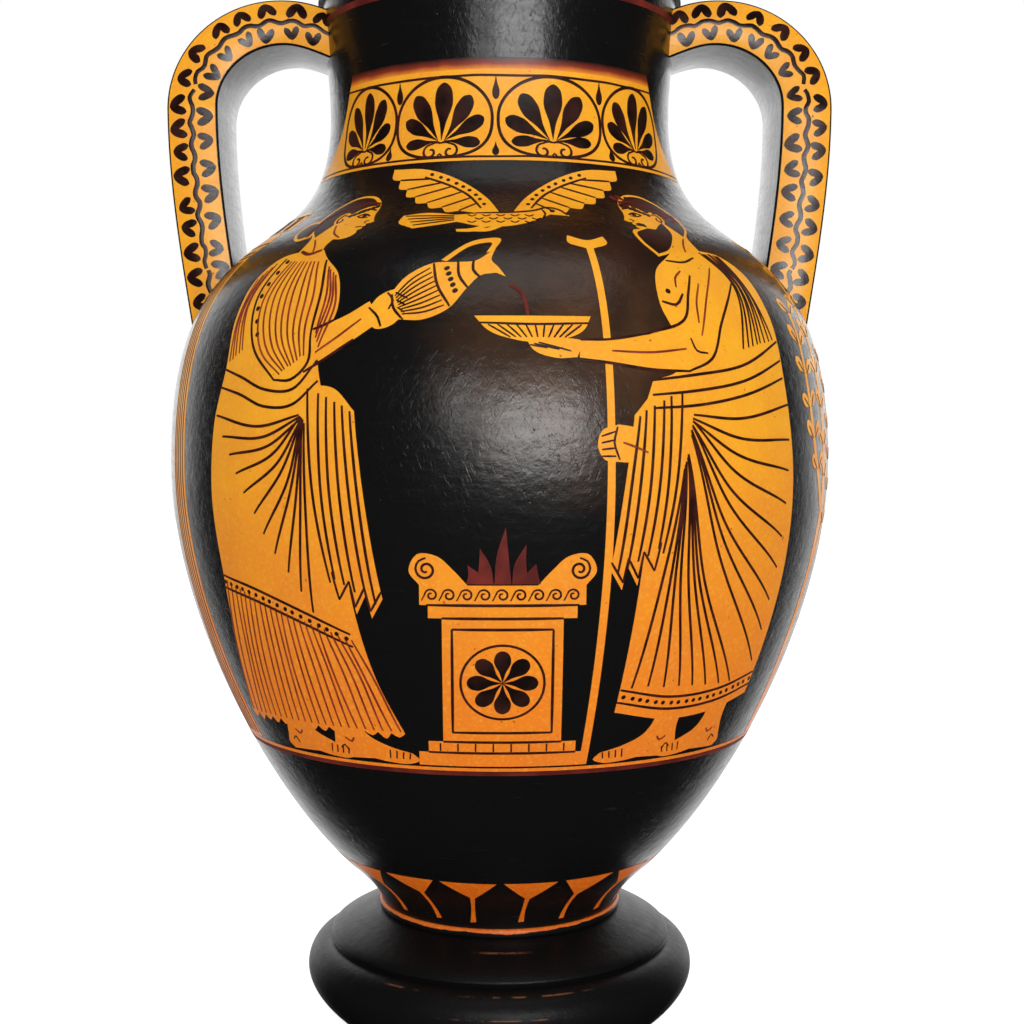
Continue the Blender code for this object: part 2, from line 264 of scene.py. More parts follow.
class Field:
    """A patch of wall to draw on, in millimetres, with x round to the right and y up the wall.

    With a reference radius, x keeps its angle at every height; without one, x keeps its length."""

    def __init__(self, angle, height, reference=None, mirror=1.0):
        self.angle = angle
        self.start = wall.way_at(height)
        self.reference = reference
        self.mirror = mirror

    def place(self, x, y, lift):
        radius, height = wall.at(self.start + y * MM, lift)
        return around(radius, self.angle + self.mirror * x * MM / (self.reference or radius), height)


class Strap:
    """A handle: its middle line in the XZ plane, from the neck over the arch down into the shoulder."""

    def __init__(self, side):
        self.side = side
        arch_height = LIP_BASE - HANDLE_LIP_DROP - HANDLE_ARCH_SLIMNESS * HANDLE_THICKNESS / 2
        arch = Vector((NECK_RADIUS + HANDLE_ARCH_REACH, arch_height))
        knee = Vector((NECK_RADIUS + HANDLE_REACH, arch_height - HANDLE_KNEE_DROP))
        root = Vector((NECK_RADIUS - WALL, arch_height - HANDLE_ROOT_DIP))
        seat = wall.at(wall.way_at(BELLY_HEIGHT + HANDLE_SEAT_RISE))
        inner_seat = seat - Vector((HANDLE_THICKNESS / 2, 0.0))
        fall = (inner_seat - knee).normalized()
        end = inner_seat + 2 * HANDLE_THICKNESS * fall
        root_pull = Vector((HANDLE_ARCH_REACH / 2, HANDLE_ROOT_DIP / 2))
        arch_pull = Vector((HANDLE_ARCH_REACH / 2, 0.0))
        bend = Vector((ROUND * (knee.x - arch.x), 0.0))
        drop = Vector((0.0, ROUND * (arch.y - knee.y)))
        fall_pull = (end - knee).length / 3
        runs = [
            (root, root + root_pull, arch - arch_pull, arch),
            (arch, arch + bend, knee + drop, knee),
            (knee, knee - Vector((0.0, fall_pull)), end - fall_pull * fall, end),
        ]
        slimness = [HANDLE_ARCH_SLIMNESS, HANDLE_ARCH_SLIMNESS, 1.0, 1.0]
        self.points = [root]
        self.scale = [slimness[0]]
        for index, run in enumerate(runs):
            for step, point in enumerate(curve(*run, CURVE_STEPS)[1:], 1):
                share = step / CURVE_STEPS
                self.points.append(point)
                self.scale.append(slimness[index] + share * (slimness[index + 1] - slimness[index]))
        self.ways = ways_along(self.points)

    def at(self, way, across, depth):
        """A point of the strap: across is outwards from the middle line, and depth is towards the front."""
        index, share = spot_on(self.ways, way)
        before = self.points[max(index - 1, 0)]
        first, second = self.points[index], self.points[index + 1]
        after = self.points[min(index + 2, len(self.points) - 1)]
        along = (second - before).lerp(after - first, share).normalized()
        scale = self.scale[index] + share * (self.scale[index + 1] - self.scale[index])
        place = first.lerp(second, share) + across * scale * Vector((-along.y, along.x))
        return Vector((self.side * place.x, -depth * scale, place.y))

    def reach(self, across, depth):
        """The ways at which a line along the strap dips into the vessel's wall, at neck and shoulder."""
        middle = self.ways[2 * CURVE_STEPS]

        def buried(way):
            point = self.at(way, across, depth)
            return math.hypot(point.x, point.y) < wall.radius(point.z) - HANDLE_SUNK

        ends = []
        for limit in (0.0, self.ways[-1]):
            outside, inside = middle, limit
            for _ in range(30):
                half = (outside + inside) / 2
                if buried(half):
                    inside = half
                else:
                    outside = half
            ends.append(outside)
        return ends


class Flange:
    """The flat front or back face of a handle to draw on: x along the strap, y across it, in millimetres."""

    def __init__(self, strap, face):
        self.strap = strap
        self.face = face

    def place(self, x, y, lift):
        point = self.strap.at(x * MM, y * MM, self.face * HANDLE_DEPTH / 2)
        crown = FLANGE_CROWN * (1.0 - (2 * y * MM / HANDLE_THICKNESS) ** 2) if lift > 0 else 0.0
        return point + Vector((0.0, -self.face * (lift + crown), 0.0))


straps = {"right_handle": Strap(1.0), "left_handle": Strap(-1.0)}


# Drawing

def smooth(points, step=1.0):
    """A smooth line through a few points, sampled evenly."""
    points = [Vector(point) for point in points]
    if len(points) == 2:
        count = max(int((points[1] - points[0]).length / step), 1)
        return [points[0].lerp(points[1], index / count) for index in range(count + 1)]
    gaps = [max((b - a).length, 1e-6) for a, b in zip(points, points[1:])]
    slopes = [(b - a) / gap for a, b, gap in zip(points, points[1:], gaps)]
    pulls = [slopes[0]]
    for slope_in, slope_out, before, after in zip(slopes, slopes[1:], gaps, gaps[1:]):
        pulls.append((slope_in * after + slope_out * before) / (before + after))
    pulls.append(slopes[-1])
    line = [points[0]]
    for index, gap in enumerate(gaps):
        count = max(int(gap / step + 0.5), 2)
        start, end = points[index], points[index + 1]
        line += curve(start, start + pulls[index] * gap / 3, end - pulls[index + 1] * gap / 3, end, count)[1:]
    return line


def loop(*runs, step=1.0):
    """A closed outline of smooth runs with a corner where one run ends and the next starts."""
    line = []
    last = None
    for run in runs:
        points = list(run) if last is None else [last] + list(run)
        last = points[-1]
        line += smooth(points, step)[:-1]
    start = runs[0][0]
    if (Vector(last) - Vector(start)).length > 1e-6:
        line += smooth([last, start], step)[:-1]
    return line


def spots_along(line, count):
    """Spots spread along a sampled line, half a gap in from its ends."""
    return [line[int((index + 0.5) / count * (len(line) - 1))] for index in range(count)]


def oval(x, y, half_width, half_height, count=48):
    turns = [math.tau * index / count for index in range(count)]
    return [Vector((x + half_width * math.cos(turn), y + half_height * math.sin(turn))) for turn in turns]


def moved(points, x=0.0, y=0.0, turn=0.0, size=1.0):
    """A drawing turned, sized and shifted."""
    cosine, sine = size * math.cos(turn), size * math.sin(turn)
    return [Vector((x + cosine * p[0] - sine * p[1], y + sine * p[0] + cosine * p[1])) for p in points]


def hand_in(piece, node=None):
    """Put a piece on the vessel's body, in place of a packed section where one is named."""
    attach(piece, "root")
    if node:
        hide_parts(node)


class Paint:
    """One painted layer: closed films and ridged lines, gathered into a single piece."""

    def __init__(self, name, finish, slot):
        self.name = name
        self.finish = finish
        self.slot = slot
        self.corners = []
        self.faces = []

    def patch(self, field, outline, lift=FILM, grid=2.6):
        """A thin closed film with the given outline."""
        border = [Vector(point) for point in outline]
        count = len(border)
        edges = [(index, (index + 1) % count) for index in range(count)]
        low_x, high_x = min(p.x for p in border), max(p.x for p in border)
        low_y, high_y = min(p.y for p in border), max(p.y for p in border)
        points = list(border)
        for row in range(1, int((high_y - low_y) / grid) + 1):
            for column in range(1, int((high_x - low_x) / grid) + 1):
                spot = Vector((low_x + column * grid + (row % 2) * grid / 2, low_y + row * grid))
                if min((spot - p).length_squared for p in border) > (0.55 * grid) ** 2:
                    points.append(spot)
        spots, _, triangles, _, _, _ = delaunay_2d_cdt(points, edges, [], 1, 1e-5)
        base = len(self.corners)
        under = base + len(spots)
        for level in (lift, ROOTED):
            self.corners += [field.place(spot.x, spot.y, level) for spot in spots]
        rims = {}
        for a, b, c in triangles:
            self.faces.append((base + a, base + b, base + c))
            self.faces.append((under + c, under + b, under + a))
            for first, second in ((a, b), (b, c), (c, a)):
                if (second, first) in rims:
                    del rims[(second, first)]
                else:
                    rims[(first, second)] = True
        for first, second in rims:
            self.faces.append((base + second, base + first, under + first, under + second))

    def stroke(self, field, points, width=0.85, step=1.6, taper=0.3):
        """A brushed line with a low ridge, thinner at its ends by the taper."""
        line = smooth(points, step)
        base = len(self.corners)
        last = len(line) - 1
        for index, spot in enumerate(line):
            ahead = line[min(index + 1, last)] - line[max(index - 1, 0)]
            share = index / last
            swell = 1.0 - taper * (1.0 - min(1.0, 4.0 * min(share, 1.0 - share) + 0.08))
            aside = 0.5 * width * swell * Vector((-ahead.y, ahead.x)).normalized()
            left, right = spot + aside, spot - aside
            rim = ((left, ROOTED), (left, OVER_FILM), (spot, RIDGE), (right, OVER_FILM), (right, ROOTED))
            self.corners += [field.place(corner.x, corner.y, level) for corner, level in rim]
        for index in range(last):
            here, there = base + 5 * index, base + 5 * index + 5
            for side in range(5):
                other = (side + 1) % 5
                self.faces.append((here + side, here + other, there + other, there + side))
        self.faces.append(tuple(base + corner for corner in (4, 3, 2, 1, 0)))
        self.faces.append(tuple(base + 5 * last + corner for corner in range(5)))

    def ring(self, low, high):
        """A film all round the wall between two heights."""
        start, end = wall.way_at(low), wall.way_at(high)
        edges = ((start, ROOTED), (start, FILM), (end, FILM), (end, ROOTED))
        profile = [wall.at(way, lift) for way, lift in edges]
        base = len(self.corners)
        count = len(profile)
        for step in range(BAND_STEPS):
            self.corners += [around(point.x, math.tau * step / BAND_STEPS, point.y) for point in profile]
            here, there = base + step * count, base + (step + 1) % BAND_STEPS * count
            for index in range(count):
                beyond = (index + 1) % count
                self.faces.append((here + index, there + index, there + beyond, here + beyond))

    def build(self):
        hand_in(mesh_piece(self.name, self.corners, self.faces, [self.finish], PAINT_CREASE))


def mesh_piece(name, corners, faces, finishes, crease):
    """A smooth-shaded piece, with its faces pointed outwards also where a drawing is mirrored."""
    mesh = bpy.data.meshes.new(name)
    mesh.from_pydata(corners, [], faces)
    for finish in finishes:
        mesh.materials.append(finish)
    mesh.validate()
    shape = bmesh.new()
    shape.from_mesh(mesh)
    bmesh.ops.recalc_face_normals(shape, faces=shape.faces)
    shape.to_mesh(mesh)
    shape.free()
    mesh.shade_smooth()
    mesh.set_sharp_from_angle(angle=math.radians(crease))
    piece = bpy.data.objects.new(name, mesh)
    bpy.context.scene.collection.objects.link(piece)
    return piece


def turned(name, outline, finishes, finish_of=None):
    """A turned skin: a closed outline of (radius, height), down its outer side, swept once round."""
    corners, faces, rings = [], [], []
    for radius, height in outline:
        steps = TURN_STEPS if radius > 1e-6 else 1
        rings.append(list(range(len(corners), len(corners) + steps)))
        corners += [around(radius, math.tau * step / TURN_STEPS, height) for step in range(steps)]
    marks = []
    count = len(rings)
    for index in range(count):
        beyond = (index + 1) % count
        upper, lower = rings[index], rings[beyond]
        if len(upper) == 1 and len(lower) == 1:
            continue
        mark = finish_of((Vector(outline[index]) + Vector(outline[beyond])) / 2) if finish_of else 0
        for step in range(TURN_STEPS):
            after = (step + 1) % TURN_STEPS
            if len(upper) == 1:
                faces.append((upper[0], lower[step], lower[after]))
            elif len(lower) == 1:
                faces.append((upper[after], upper[step], lower[0]))
            else:
                faces.append((upper[after], upper[step], lower[step], lower[after]))
            marks.append(mark)
    piece = mesh_piece(name, corners, faces, finishes, TURNED_CREASE)
    piece.data.polygons.foreach_set("material_index", marks)
    return piece


# Finishes

class Nodes:
    """Short ways to add shader nodes to one node tree."""

    def __init__(self, tree):
        self.tree = tree

    def add(self, kind, **values):
        node = self.tree.nodes.new(kind)
        for key, value in values.items():
            setattr(node, key, value)
        return node

    def feed(self, socket, value):
        """Give a socket a plain value, or join another node's output to it."""
        if isinstance(value, (float, tuple)):
            socket.default_value = value
        else:
            self.tree.links.new(value, socket)

    def span(self, value, low, high, to_low, to_high):
        """A value that runs from to_low to to_high while the given one runs from low to high."""
        node = self.add("ShaderNodeMapRange")
        names = ("Value", "From Min", "From Max", "To Min", "To Max")
        for name, number in zip(names, (value, low, high, to_low, to_high)):
            self.feed(node.inputs[name], number)
        return node.outputs["Result"]

    def axis(self, vector, name):
        node = self.add("ShaderNodeSeparateXYZ")
        self.feed(node.inputs["Vector"], vector)
        return node.outputs[name]

    def vector(self, operation, first, second=(0.0, 0.0, 0.0)):
        node = self.add("ShaderNodeVectorMath", operation=operation)
        self.feed(node.inputs[0], first)
        self.feed(node.inputs[1], second)
        return node.outputs["Value" if operation == "DISTANCE" else "Vector"]

    def math(self, operation, first, second=0.0):
        node = self.add("ShaderNodeMath", operation=operation)
        self.feed(node.inputs[0], first)
        self.feed(node.inputs[1], second)
        return node.outputs["Value"]

    def times(self, first, second):
        return self.math("MULTIPLY", first, second)

    def blend(self, share, first, second):
        """A colour between two others, by a share."""
        node = self.add("ShaderNodeMix", data_type="RGBA")
        colours = [socket for socket in node.inputs if socket.type == "RGBA"]
        for socket, value in zip([node.inputs[0]] + colours, (share, first, second)):
            self.feed(socket, value)
        return [socket for socket in node.outputs if socket.type == "RGBA"][0]


class Finish(Nodes):
    """A material in the making: its shader's sockets, the place on the vessel, and noise laid over it."""

    def __init__(self, name, shine=0.5):
        self.material = bpy.data.materials.new(name)
        self.material.use_nodes = True
        super().__init__(self.material.node_tree)
        self.sockets = self.tree.nodes["Principled BSDF"].inputs
        self.sockets["Specular IOR Level"].default_value = shine
        self.place = self.add("ShaderNodeTexCoord").outputs["Object"]

    def along(self, name):
        return self.axis(self.place, name)

    def stretch(self, scale, tilt=0.0):
        """The place turned about the Y axis and then stretched."""
        node = self.add("ShaderNodeMapping", vector_type="TEXTURE")
        node.inputs["Rotation"].default_value = (0.0, tilt, 0.0)
        node.inputs["Scale"].default_value = [1.0 / size for size in scale]
        self.feed(node.inputs["Vector"], self.place)
        return node.outputs["Vector"]

    def noise(self, scale, detail=3.0, roughness=0.55, place=None):
        node = self.add("ShaderNodeTexNoise")
        for name, value in (("Vector", place or self.place), ("Scale", scale), ("Detail", detail),
                            ("Roughness", roughness)):
            self.feed(node.inputs[name], value)
        return node.outputs["Fac"]

    def patches(self, scale, detail, low, high, to_low=0.0, to_high=1.0):
        """Noise whose stretch from low to high runs from one value to another."""
        return self.span(self.noise(scale, detail), low, high, to_low, to_high)

    def waver(self, scale, detail, size):
        """A shift to both sides of nothing, by up to about a size."""
        return self.times(self.patches(scale, detail, 0.3, 0.7, -1.0), size)

    def band(self, value, start, full, fade, end):
        """A share that rises from start to full and falls again from fade to end."""
        return self.times(self.span(value, start, full, 0.0, 1.0), self.span(value, fade, end, 1.0, 0.0))

    def near(self, value, middle, full, end):
        """A share that is whole within one distance of a middle and gone beyond another."""
        distance = self.math("ABSOLUTE", self.math("SUBTRACT", value, middle))
        return self.span(distance, full, end, 1.0, 0.0)

    def made(self, colour, roughness, *bumps):
        """The finished material. A bump is given by its height, its depth in metres and its strength."""
        self.feed(self.sockets["Base Color"], colour)
        self.feed(self.sockets["Roughness"], roughness)
        normal = None
        for height, depth, strength in bumps:
            node = self.add("ShaderNodeBump")
            node.inputs["Distance"].default_value = depth
            node.inputs["Strength"].default_value = strength
            self.feed(node.inputs["Height"], height)
            if normal:
                self.feed(node.inputs["Normal"], normal)
            normal = node.outputs["Normal"]
        if normal:
            self.feed(self.sockets["Normal"], normal)
        return self.material


# How much rougher a finish gets over its own pattern
GLOSS_SPREAD = 0.07
CLAY_SPREAD = 0.14
SLIP_SPREAD = 0.12

BLACK = (0.0052, 0.0050, 0.0050, 1.0)
# Brown where the slip is thin, in a band round the shoulder; its lower reach down the belly also paints the
# warm glow of reflected light over the front
THIN_SLIP_AND_GLOW_BROWN = (0.030, 0.0095, 0.0045, 1.0)
THIN_SLIP_AND_GLOW_BAND = (0.205, 0.240, 0.262, 0.292)
WORN_BROWN = (0.070, 0.026, 0.012, 1.0)
# Painted warm glow of reflected light on the belly's front, above the window's highlight: its brown, its
# middle, and the radii where it is full and where it is gone
PAINTED_GLOW_BROWN = (0.078, 0.034, 0.014, 1.0)
PAINTED_GLOW_SPOT = (0.022, -0.100, 0.222)
PAINTED_GLOW_SIZES = (0.012, 0.046)
# Thin brown lines round the foot, each by its middle's x, its height and half its length
BROWN_LINE_COLOUR = (0.16, 0.060, 0.026, 1.0)
BROWN_LINE_WIDTH = 0.00022
FOOT_BROWN_LINES = [(0.001, FOOT_HEIGHT - 0.0022, 0.010), (0.009, FOOT_HEIGHT - 0.0110, 0.022),
               (-0.030, FOOT_HEIGHT - 0.0108, 0.006), (0.004, FOOT_HEIGHT - 0.0168, 0.024)]
STREAKS = (70.0, 70.0, 620.0)
CLAY_STREAKS = (60.0, 60.0, 500.0)
SCRATCHES = (1400.0, 1400.0, 230.0)
SCRATCH_TILTS = (0.5, -0.35)


def black_gloss(name, roughness=0.21, shine=0.5, brown_lines=()):
    """Brushed black slip: streaks round the pot, dimples, scratches and pits, and brown where it is thin;
    that brown band and a brown spot on the belly's front also paint a warm glow of reflected light.

    A brown line is a thin line round the pot, given by its middle's x, its height and half its length."""
    finish = Finish(name, shine)
    height = finish.along("Z")
    # Brown of thin slip round the shoulder, partly a painted warm glow of reflected light on the belly
    thin_slip_and_glow = finish.times(finish.band(height, *THIN_SLIP_AND_GLOW_BAND), finish.patches(26.0, 4.0, 0.45, 0.75))
    colour = finish.blend(thin_slip_and_glow, BLACK, THIN_SLIP_AND_GLOW_BROWN)
    # Painted highlight: a patchy warm brown glow of reflected light round a spot on the belly's front
    distance = finish.vector("DISTANCE", finish.place, PAINTED_GLOW_SPOT)
    painted_glow = finish.times(finish.span(distance, *PAINTED_GLOW_SIZES, 1.0, 0.0),
                          finish.patches(70.0, 4.0, 0.30, 0.66, 0.35))
    colour = finish.blend(painted_glow, colour, PAINTED_GLOW_BROWN)
    streaks = finish.noise(1.0, 5.0, 0.6, finish.stretch(STREAKS))
    worn = finish.times(finish.span(streaks, 0.66, 0.74, 0.0, 1.0),
                        finish.patches(60.0, 2.0, 0.58, 0.66, 0.0, 0.8))
    colour = finish.blend(worn, colour, WORN_BROWN)
    patchy = finish.patches(260.0, 3.0, 0.44, 0.60)
    # Thin brown lines round the pot where they are given
    for x, level, half_length in brown_lines:
        line = finish.times(finish.near(finish.along("X"), x, 0.4 * half_length, half_length),
                            finish.near(height, level, 0.5 * BROWN_LINE_WIDTH, BROWN_LINE_WIDTH))
        colour = finish.blend(finish.times(line, patchy), colour, BROWN_LINE_COLOUR)
    strokes = [finish.noise(1.0, 2.0, place=finish.stretch(SCRATCHES, tilt)) for tilt in SCRATCH_TILTS]
    scratches = finish.span(finish.math("MAXIMUM", *strokes), 0.60, 0.72, 0.0, 1.0)
    return finish.made(colour, finish.span(streaks, 0.3, 0.7, roughness, roughness + GLOSS_SPREAD),
                       (streaks, 0.00012, 0.12), (finish.noise(300.0), 0.00030, 0.46),
                       (scratches, -0.00007, 0.34), (finish.noise(1500.0, 2.0), 0.00004, 0.35),
                       (finish.patches(420.0, 1.0, 0.76, 0.84), -0.0002, 0.6))


# Painted light and shade on the clay: darker towards the foot and lighter towards the top, as the light falls
# from above
CLAY_SHADED_LOW = (0.80, 0.135, 0.006, 1.0)
CLAY_MIDDLE = (0.93, 0.235, 0.004, 1.0)
CLAY_LIT_HIGH = (0.97, 0.420, 0.012, 1.0)
CLAY_CLOUD = (0.78, 0.170, 0.005, 1.0)
CLAY_GRAIN = (1.0, 0.56, 0.06, 1.0)
CLAY_SPECK = (0.30, 0.055, 0.008, 1.0)
CLAY_SHADE_HEIGHTS = (0.06, 0.12)
CLAY_LIT_HEIGHTS = (0.125, 0.21)
CLAY_CLOUDINESS = 0.34
BLACK_EDGE_BLUR = 0.00008


def clay(name, black_edge=None, polish=0.32, shine=0.38):
    """Burnished orange clay with mottling and small speckles, and painted light: lighter towards the top and
    darker towards the foot.

    With a black edge, it is black up to about that height, with a wavering edge and some black spots above."""
    finish = Finish(name, shine)
    height = finish.along("Z")
    # Painted shade towards the foot and painted light towards the top
    colour = finish.blend(finish.span(height, *CLAY_SHADE_HEIGHTS, 0.0, 1.0), CLAY_SHADED_LOW, CLAY_MIDDLE)
    colour = finish.blend(finish.span(height, *CLAY_LIT_HEIGHTS, 0.0, 1.0), colour, CLAY_LIT_HIGH)
    cloud = finish.span(finish.noise(55.0, 5.0, 0.6), 0.35, 0.68, 0.0, CLAY_CLOUDINESS)
    specks = finish.patches(650.0, 1.0, 0.74, 0.80, 0.0, 0.75)
    colour = finish.blend(cloud, colour, CLAY_CLOUD)
    colour = finish.blend(finish.patches(900.0, 3.0, 0.50, 0.72, 0.0, 0.32), colour, CLAY_GRAIN)
    colour = finish.blend(specks, colour, CLAY_SPECK)
    # Black up to a wavering height, with black spots above it
    if black_edge is not None:
        edge = finish.math("ADD", finish.math("ADD", height, finish.waver(34.0, 2.0, 0.0005)),
                           finish.waver(420.0, 2.0, 0.00016))
        above = finish.span(edge, black_edge - BLACK_EDGE_BLUR, black_edge + BLACK_EDGE_BLUR, 0.0, 1.0)
        clear = finish.patches(190.0, 1.0, 0.70, 0.73, 1.0, 0.0)
        colour = finish.blend(finish.times(above, clear), BLACK, colour)
    streaks = finish.noise(1.0, 4.0, place=finish.stretch(CLAY_STREAKS))
    return finish.made(colour, finish.span(cloud, 0.0, CLAY_CLOUDINESS, polish, polish + CLAY_SPREAD),
                       (streaks, 0.00012, 0.35), (specks, -0.0001, 0.5))


def slip(name, thick, thin, scale, roughness, shine=0.5):
    """Painted slip that is thick in places and thinner in others."""
    finish = Finish(name, shine)
    cloud = finish.patches(scale, 3.0, 0.40, 0.66)
    return finish.made(finish.blend(cloud, (*thick, 1.0), (*thin, 1.0)),
                       finish.span(cloud, 0.0, 1.0, roughness, roughness + SLIP_SPREAD),
                       (finish.noise(900.0, 2.0), 0.00005, 0.4))


BLUSH_ORANGE = (0.85, 0.25, 0.010, 1.0)
BLUSH_RED = (0.26, 0.026, 0.006, 1.0)
BLUSH_TURN = PANEL_TOP + 0.45 * (BLUSH_TOP - PANEL_TOP)


def faded_edge(name):
    """A brushed band that runs from orange at its lower edge through dark red to black."""
    finish = Finish(name)
    height = finish.math("ADD", finish.along("Z"), finish.waver(160.0, 3.0, 0.00025))
    colour = finish.blend(finish.span(height, PANEL_TOP, BLUSH_TURN, 0.0, 1.0), BLUSH_ORANGE, BLUSH_RED)
    colour = finish.blend(finish.span(height, BLUSH_TURN, BLUSH_TOP, 0.0, 1.0), colour, BLACK)
    return finish.made(colour, finish.span(height, PANEL_TOP, BLUSH_TOP, 0.44, 0.32))


gloss = black_gloss("black_gloss")
foot_gloss = black_gloss("foot_gloss", 0.38, 0.22, FOOT_BROWN_LINES)
orange = clay("reserved_clay")
flange_clay = clay("flange_clay", polish=0.24, shine=0.42)
fillet_clay = clay("fillet_clay", FOOT_HEIGHT + 0.70 * FILLET_HEIGHT)
line_black = slip("line_slip", (0.024, 0.0042, 0.0030), (0.075, 0.0095, 0.0045), 210.0, 0.36, 0.28)
petal_black = slip("petal_slip", (0.0080, 0.0038, 0.0034), (0.048, 0.0095, 0.0050), 95.0, 0.30, 0.32)
leaf_black = slip("leaf_slip", (0.0110, 0.0036, 0.0030), (0.040, 0.0085, 0.0045), 140.0, 0.18, 0.42)
dilute = slip("dilute_slip", (0.20, 0.012, 0.005), (0.34, 0.038, 0.008), 160.0, 0.42)
added_red = slip("added_red", (0.105, 0.0065, 0.0042), (0.19, 0.015, 0.007), 120.0, 0.50, 0.3)


# Skins of the turned sections

def foot_outline():
    """Two rounded degrees with a groove between them, a resting ring, and a hollow below."""
    seat = Vector((STEM_RADIUS + FILLET_PROUD + SEAT_MARGIN, FOOT_HEIGHT))
    upper = Vector((FOOT_RADIUS - UPPER_SETBACK, FOOT_HEIGHT - UPPER_DROP))
    lower = upper - Vector((0.0, GROOVE_WIDTH))
    groove = (upper + lower) / 2 - Vector((GROOVE_DEPTH, 0.0))
    widest = Vector((FOOT_RADIUS, lower.y - LOWER_DROP))
    ring = Vector((RING_RADIUS, RING_HEIGHT))
    lip = Vector((GROOVE_DEPTH / 2, 0.0))
    slant = Vector((math.cos(UPPER_SLANT), -math.sin(UPPER_SLANT)))
    under = Vector((math.cos(UNDER_SLANT), math.sin(UNDER_SLANT)))
    outline = [(SOCKET_RADIUS, FOOT_HEIGHT)]
    outline += curve(seat, seat + ROUND * (upper.x - seat.x) * slant,
                     upper + Vector((0.0, ROUND * UPPER_DROP / 2)), upper, 28)
    outline += curve(upper, upper - lip, groove, groove, 4)[1:]
    outline += curve(groove, groove, lower - lip, lower, 4)[1:]
    outline += curve(lower, lower + Vector((ROUND * UPPER_SETBACK, 0.0)),
                     widest + Vector((0.0, ROUND * LOWER_DROP)), widest, 24)[1:]
    outline += curve(widest, widest - Vector((0.0, UNDER_FULLNESS * (widest.y - RING_HEIGHT))),
                     ring + UNDER_FULLNESS * RING_SETBACK * under, ring, 36)[1:]
    outline += [(RING_RADIUS, RING_EDGE), (RING_RADIUS - RING_EDGE, 0.0)]
    hollow_base, hollow_top = RING_RADIUS - RING_WIDTH, FOOT_HEIGHT - SOCKET_DEPTH
    outline += curve((hollow_base, 0.0), (hollow_base, ROUND * hollow_top),
                     (SOCKET_RADIUS + ROUND * (hollow_base - SOCKET_RADIUS), hollow_top),
                     (SOCKET_RADIUS, hollow_top), 16)
    return outline


def fillet_outline():
    """A ring with a rounded outside between the foot and the body."""
    low, high = FOOT_HEIGHT, WALL_BASE
    outer, inner = STEM_RADIUS + FILLET_PROUD, STEM_RADIUS - STEM_BORE
    middle, bulge = (low + high) / 2, (high - low) / 2
    start = outer - bulge / 2
    upper = curve((start, high), (start + ROUND * bulge / 2, high), (outer, middle + ROUND * bulge),
                  (outer, middle), 6)
    lower = [(point.x, 2 * middle - point.y) for point in reversed(upper[:-1])]
    return upper + lower + [(inner, low), (inner, high)]


def band_outline(low, high):
    """A stretch of the wall, down its outside and back up its inside."""
    outside = wall.stretch(low, high, 0.0, OUTSIDE_STEP)
    return list(reversed(outside)) + wall.stretch(low, high, WALL, INSIDE_STEP)


def lower_body_outline():
    outside = wall.stretch(WALL_BASE, BELLY_HEIGHT, 0.0, OUTSIDE_STEP)
    inside = [point for point in wall.stretch(WALL_BASE, BELLY_HEIGHT, WALL, INSIDE_STEP)
              if point.y > FLOOR_HEIGHT + WALL / 4]
    outline = list(reversed(outside)) + [(STEM_RADIUS - STEM_BORE, WALL_BASE), (TENON_RADIUS, WALL_BASE)]
    outline += [(TENON_RADIUS, body_low.z), (0.0, body_low.z), (0.0, FLOOR_HEIGHT)]
    return outline + [(inside[0].x - WALL / 4, FLOOR_HEIGHT)] + inside


def mouth_outline():
    """The lip: a flaring outside, a round edge, and a bore that opens out a little."""
    height = MOUTH_TOP - LIP_BASE
    edge_height = MOUTH_TOP - LIP_EDGE
    corner = LIP_EDGE * (1 - ROUND)
    bottom = (NECK_TOP_RADIUS + LIP_STEP, LIP_BASE)
    top = curve((LIP_RADIUS - LIP_EDGE, MOUTH_TOP), (LIP_RADIUS - corner, MOUTH_TOP),
                (LIP_RADIUS, MOUTH_TOP - corner), (LIP_RADIUS, edge_height), 8)
    flare = curve((LIP_RADIUS, edge_height), (LIP_RADIUS - LIP_EDGE, edge_height - height / 4),
                  (bottom[0], bottom[1] + height / 3), bottom, 24)
    bore = NECK_TOP_RADIUS - WALL
    inner_edge = LIP_RADIUS - WALL - LIP_EDGE
    inside = curve((bore, LIP_BASE), (bore, LIP_BASE + height / 3),
                   (inner_edge - LIP_EDGE, edge_height - height / 4),
                   (inner_edge, MOUTH_TOP - LIP_EDGE / 2), 18)
    return top + flare[1:] + inside + [(inner_edge + LIP_EDGE / 2, MOUTH_TOP)]


def clay_inside(middle):
    return 1 if middle.x < wall.radius(middle.y) - WALL / 2 else 0


def clay_underside(middle):
    on_ring = middle.x < RING_RADIUS + CLAY_MARGIN and middle.y < RING_HEIGHT
    in_hollow = middle.x < RING_RADIUS - RING_WIDTH and middle.y < FOOT_HEIGHT - SOCKET_DEPTH + CLAY_MARGIN
    return 1 if on_ring or in_hollow else 0


def turned_skins():
    """The six turned sections. The inside of the body and the underside of the foot are bare clay."""
    seam = WAIST_HEIGHT - NECK_SEAM_DROP
    lined = [gloss, orange]
    foot_skin = turned("foot_skin", foot_outline(), [foot_gloss, orange], clay_underside)
    fillet_skin = turned("fillet_skin", fillet_outline(), [fillet_clay])
    lower_body_skin = turned("lower_body_skin", lower_body_outline(), lined, clay_inside)
    shoulder_skin = turned("shoulder_skin", band_outline(BELLY_HEIGHT, seam), lined, clay_inside)
    neck_skin = turned("neck_skin", band_outline(seam, LIP_BASE), [gloss])
    mouth_skin = turned("mouth_skin", mouth_outline(), [gloss])
    hand_in(foot_skin, "foot")
    hand_in(fillet_skin, "foot_fillet")
    hand_in(lower_body_skin, "lower_body")
    hand_in(shoulder_skin, "shoulder")
    hand_in(neck_skin, "neck")
    hand_in(mouth_skin, "mouth")


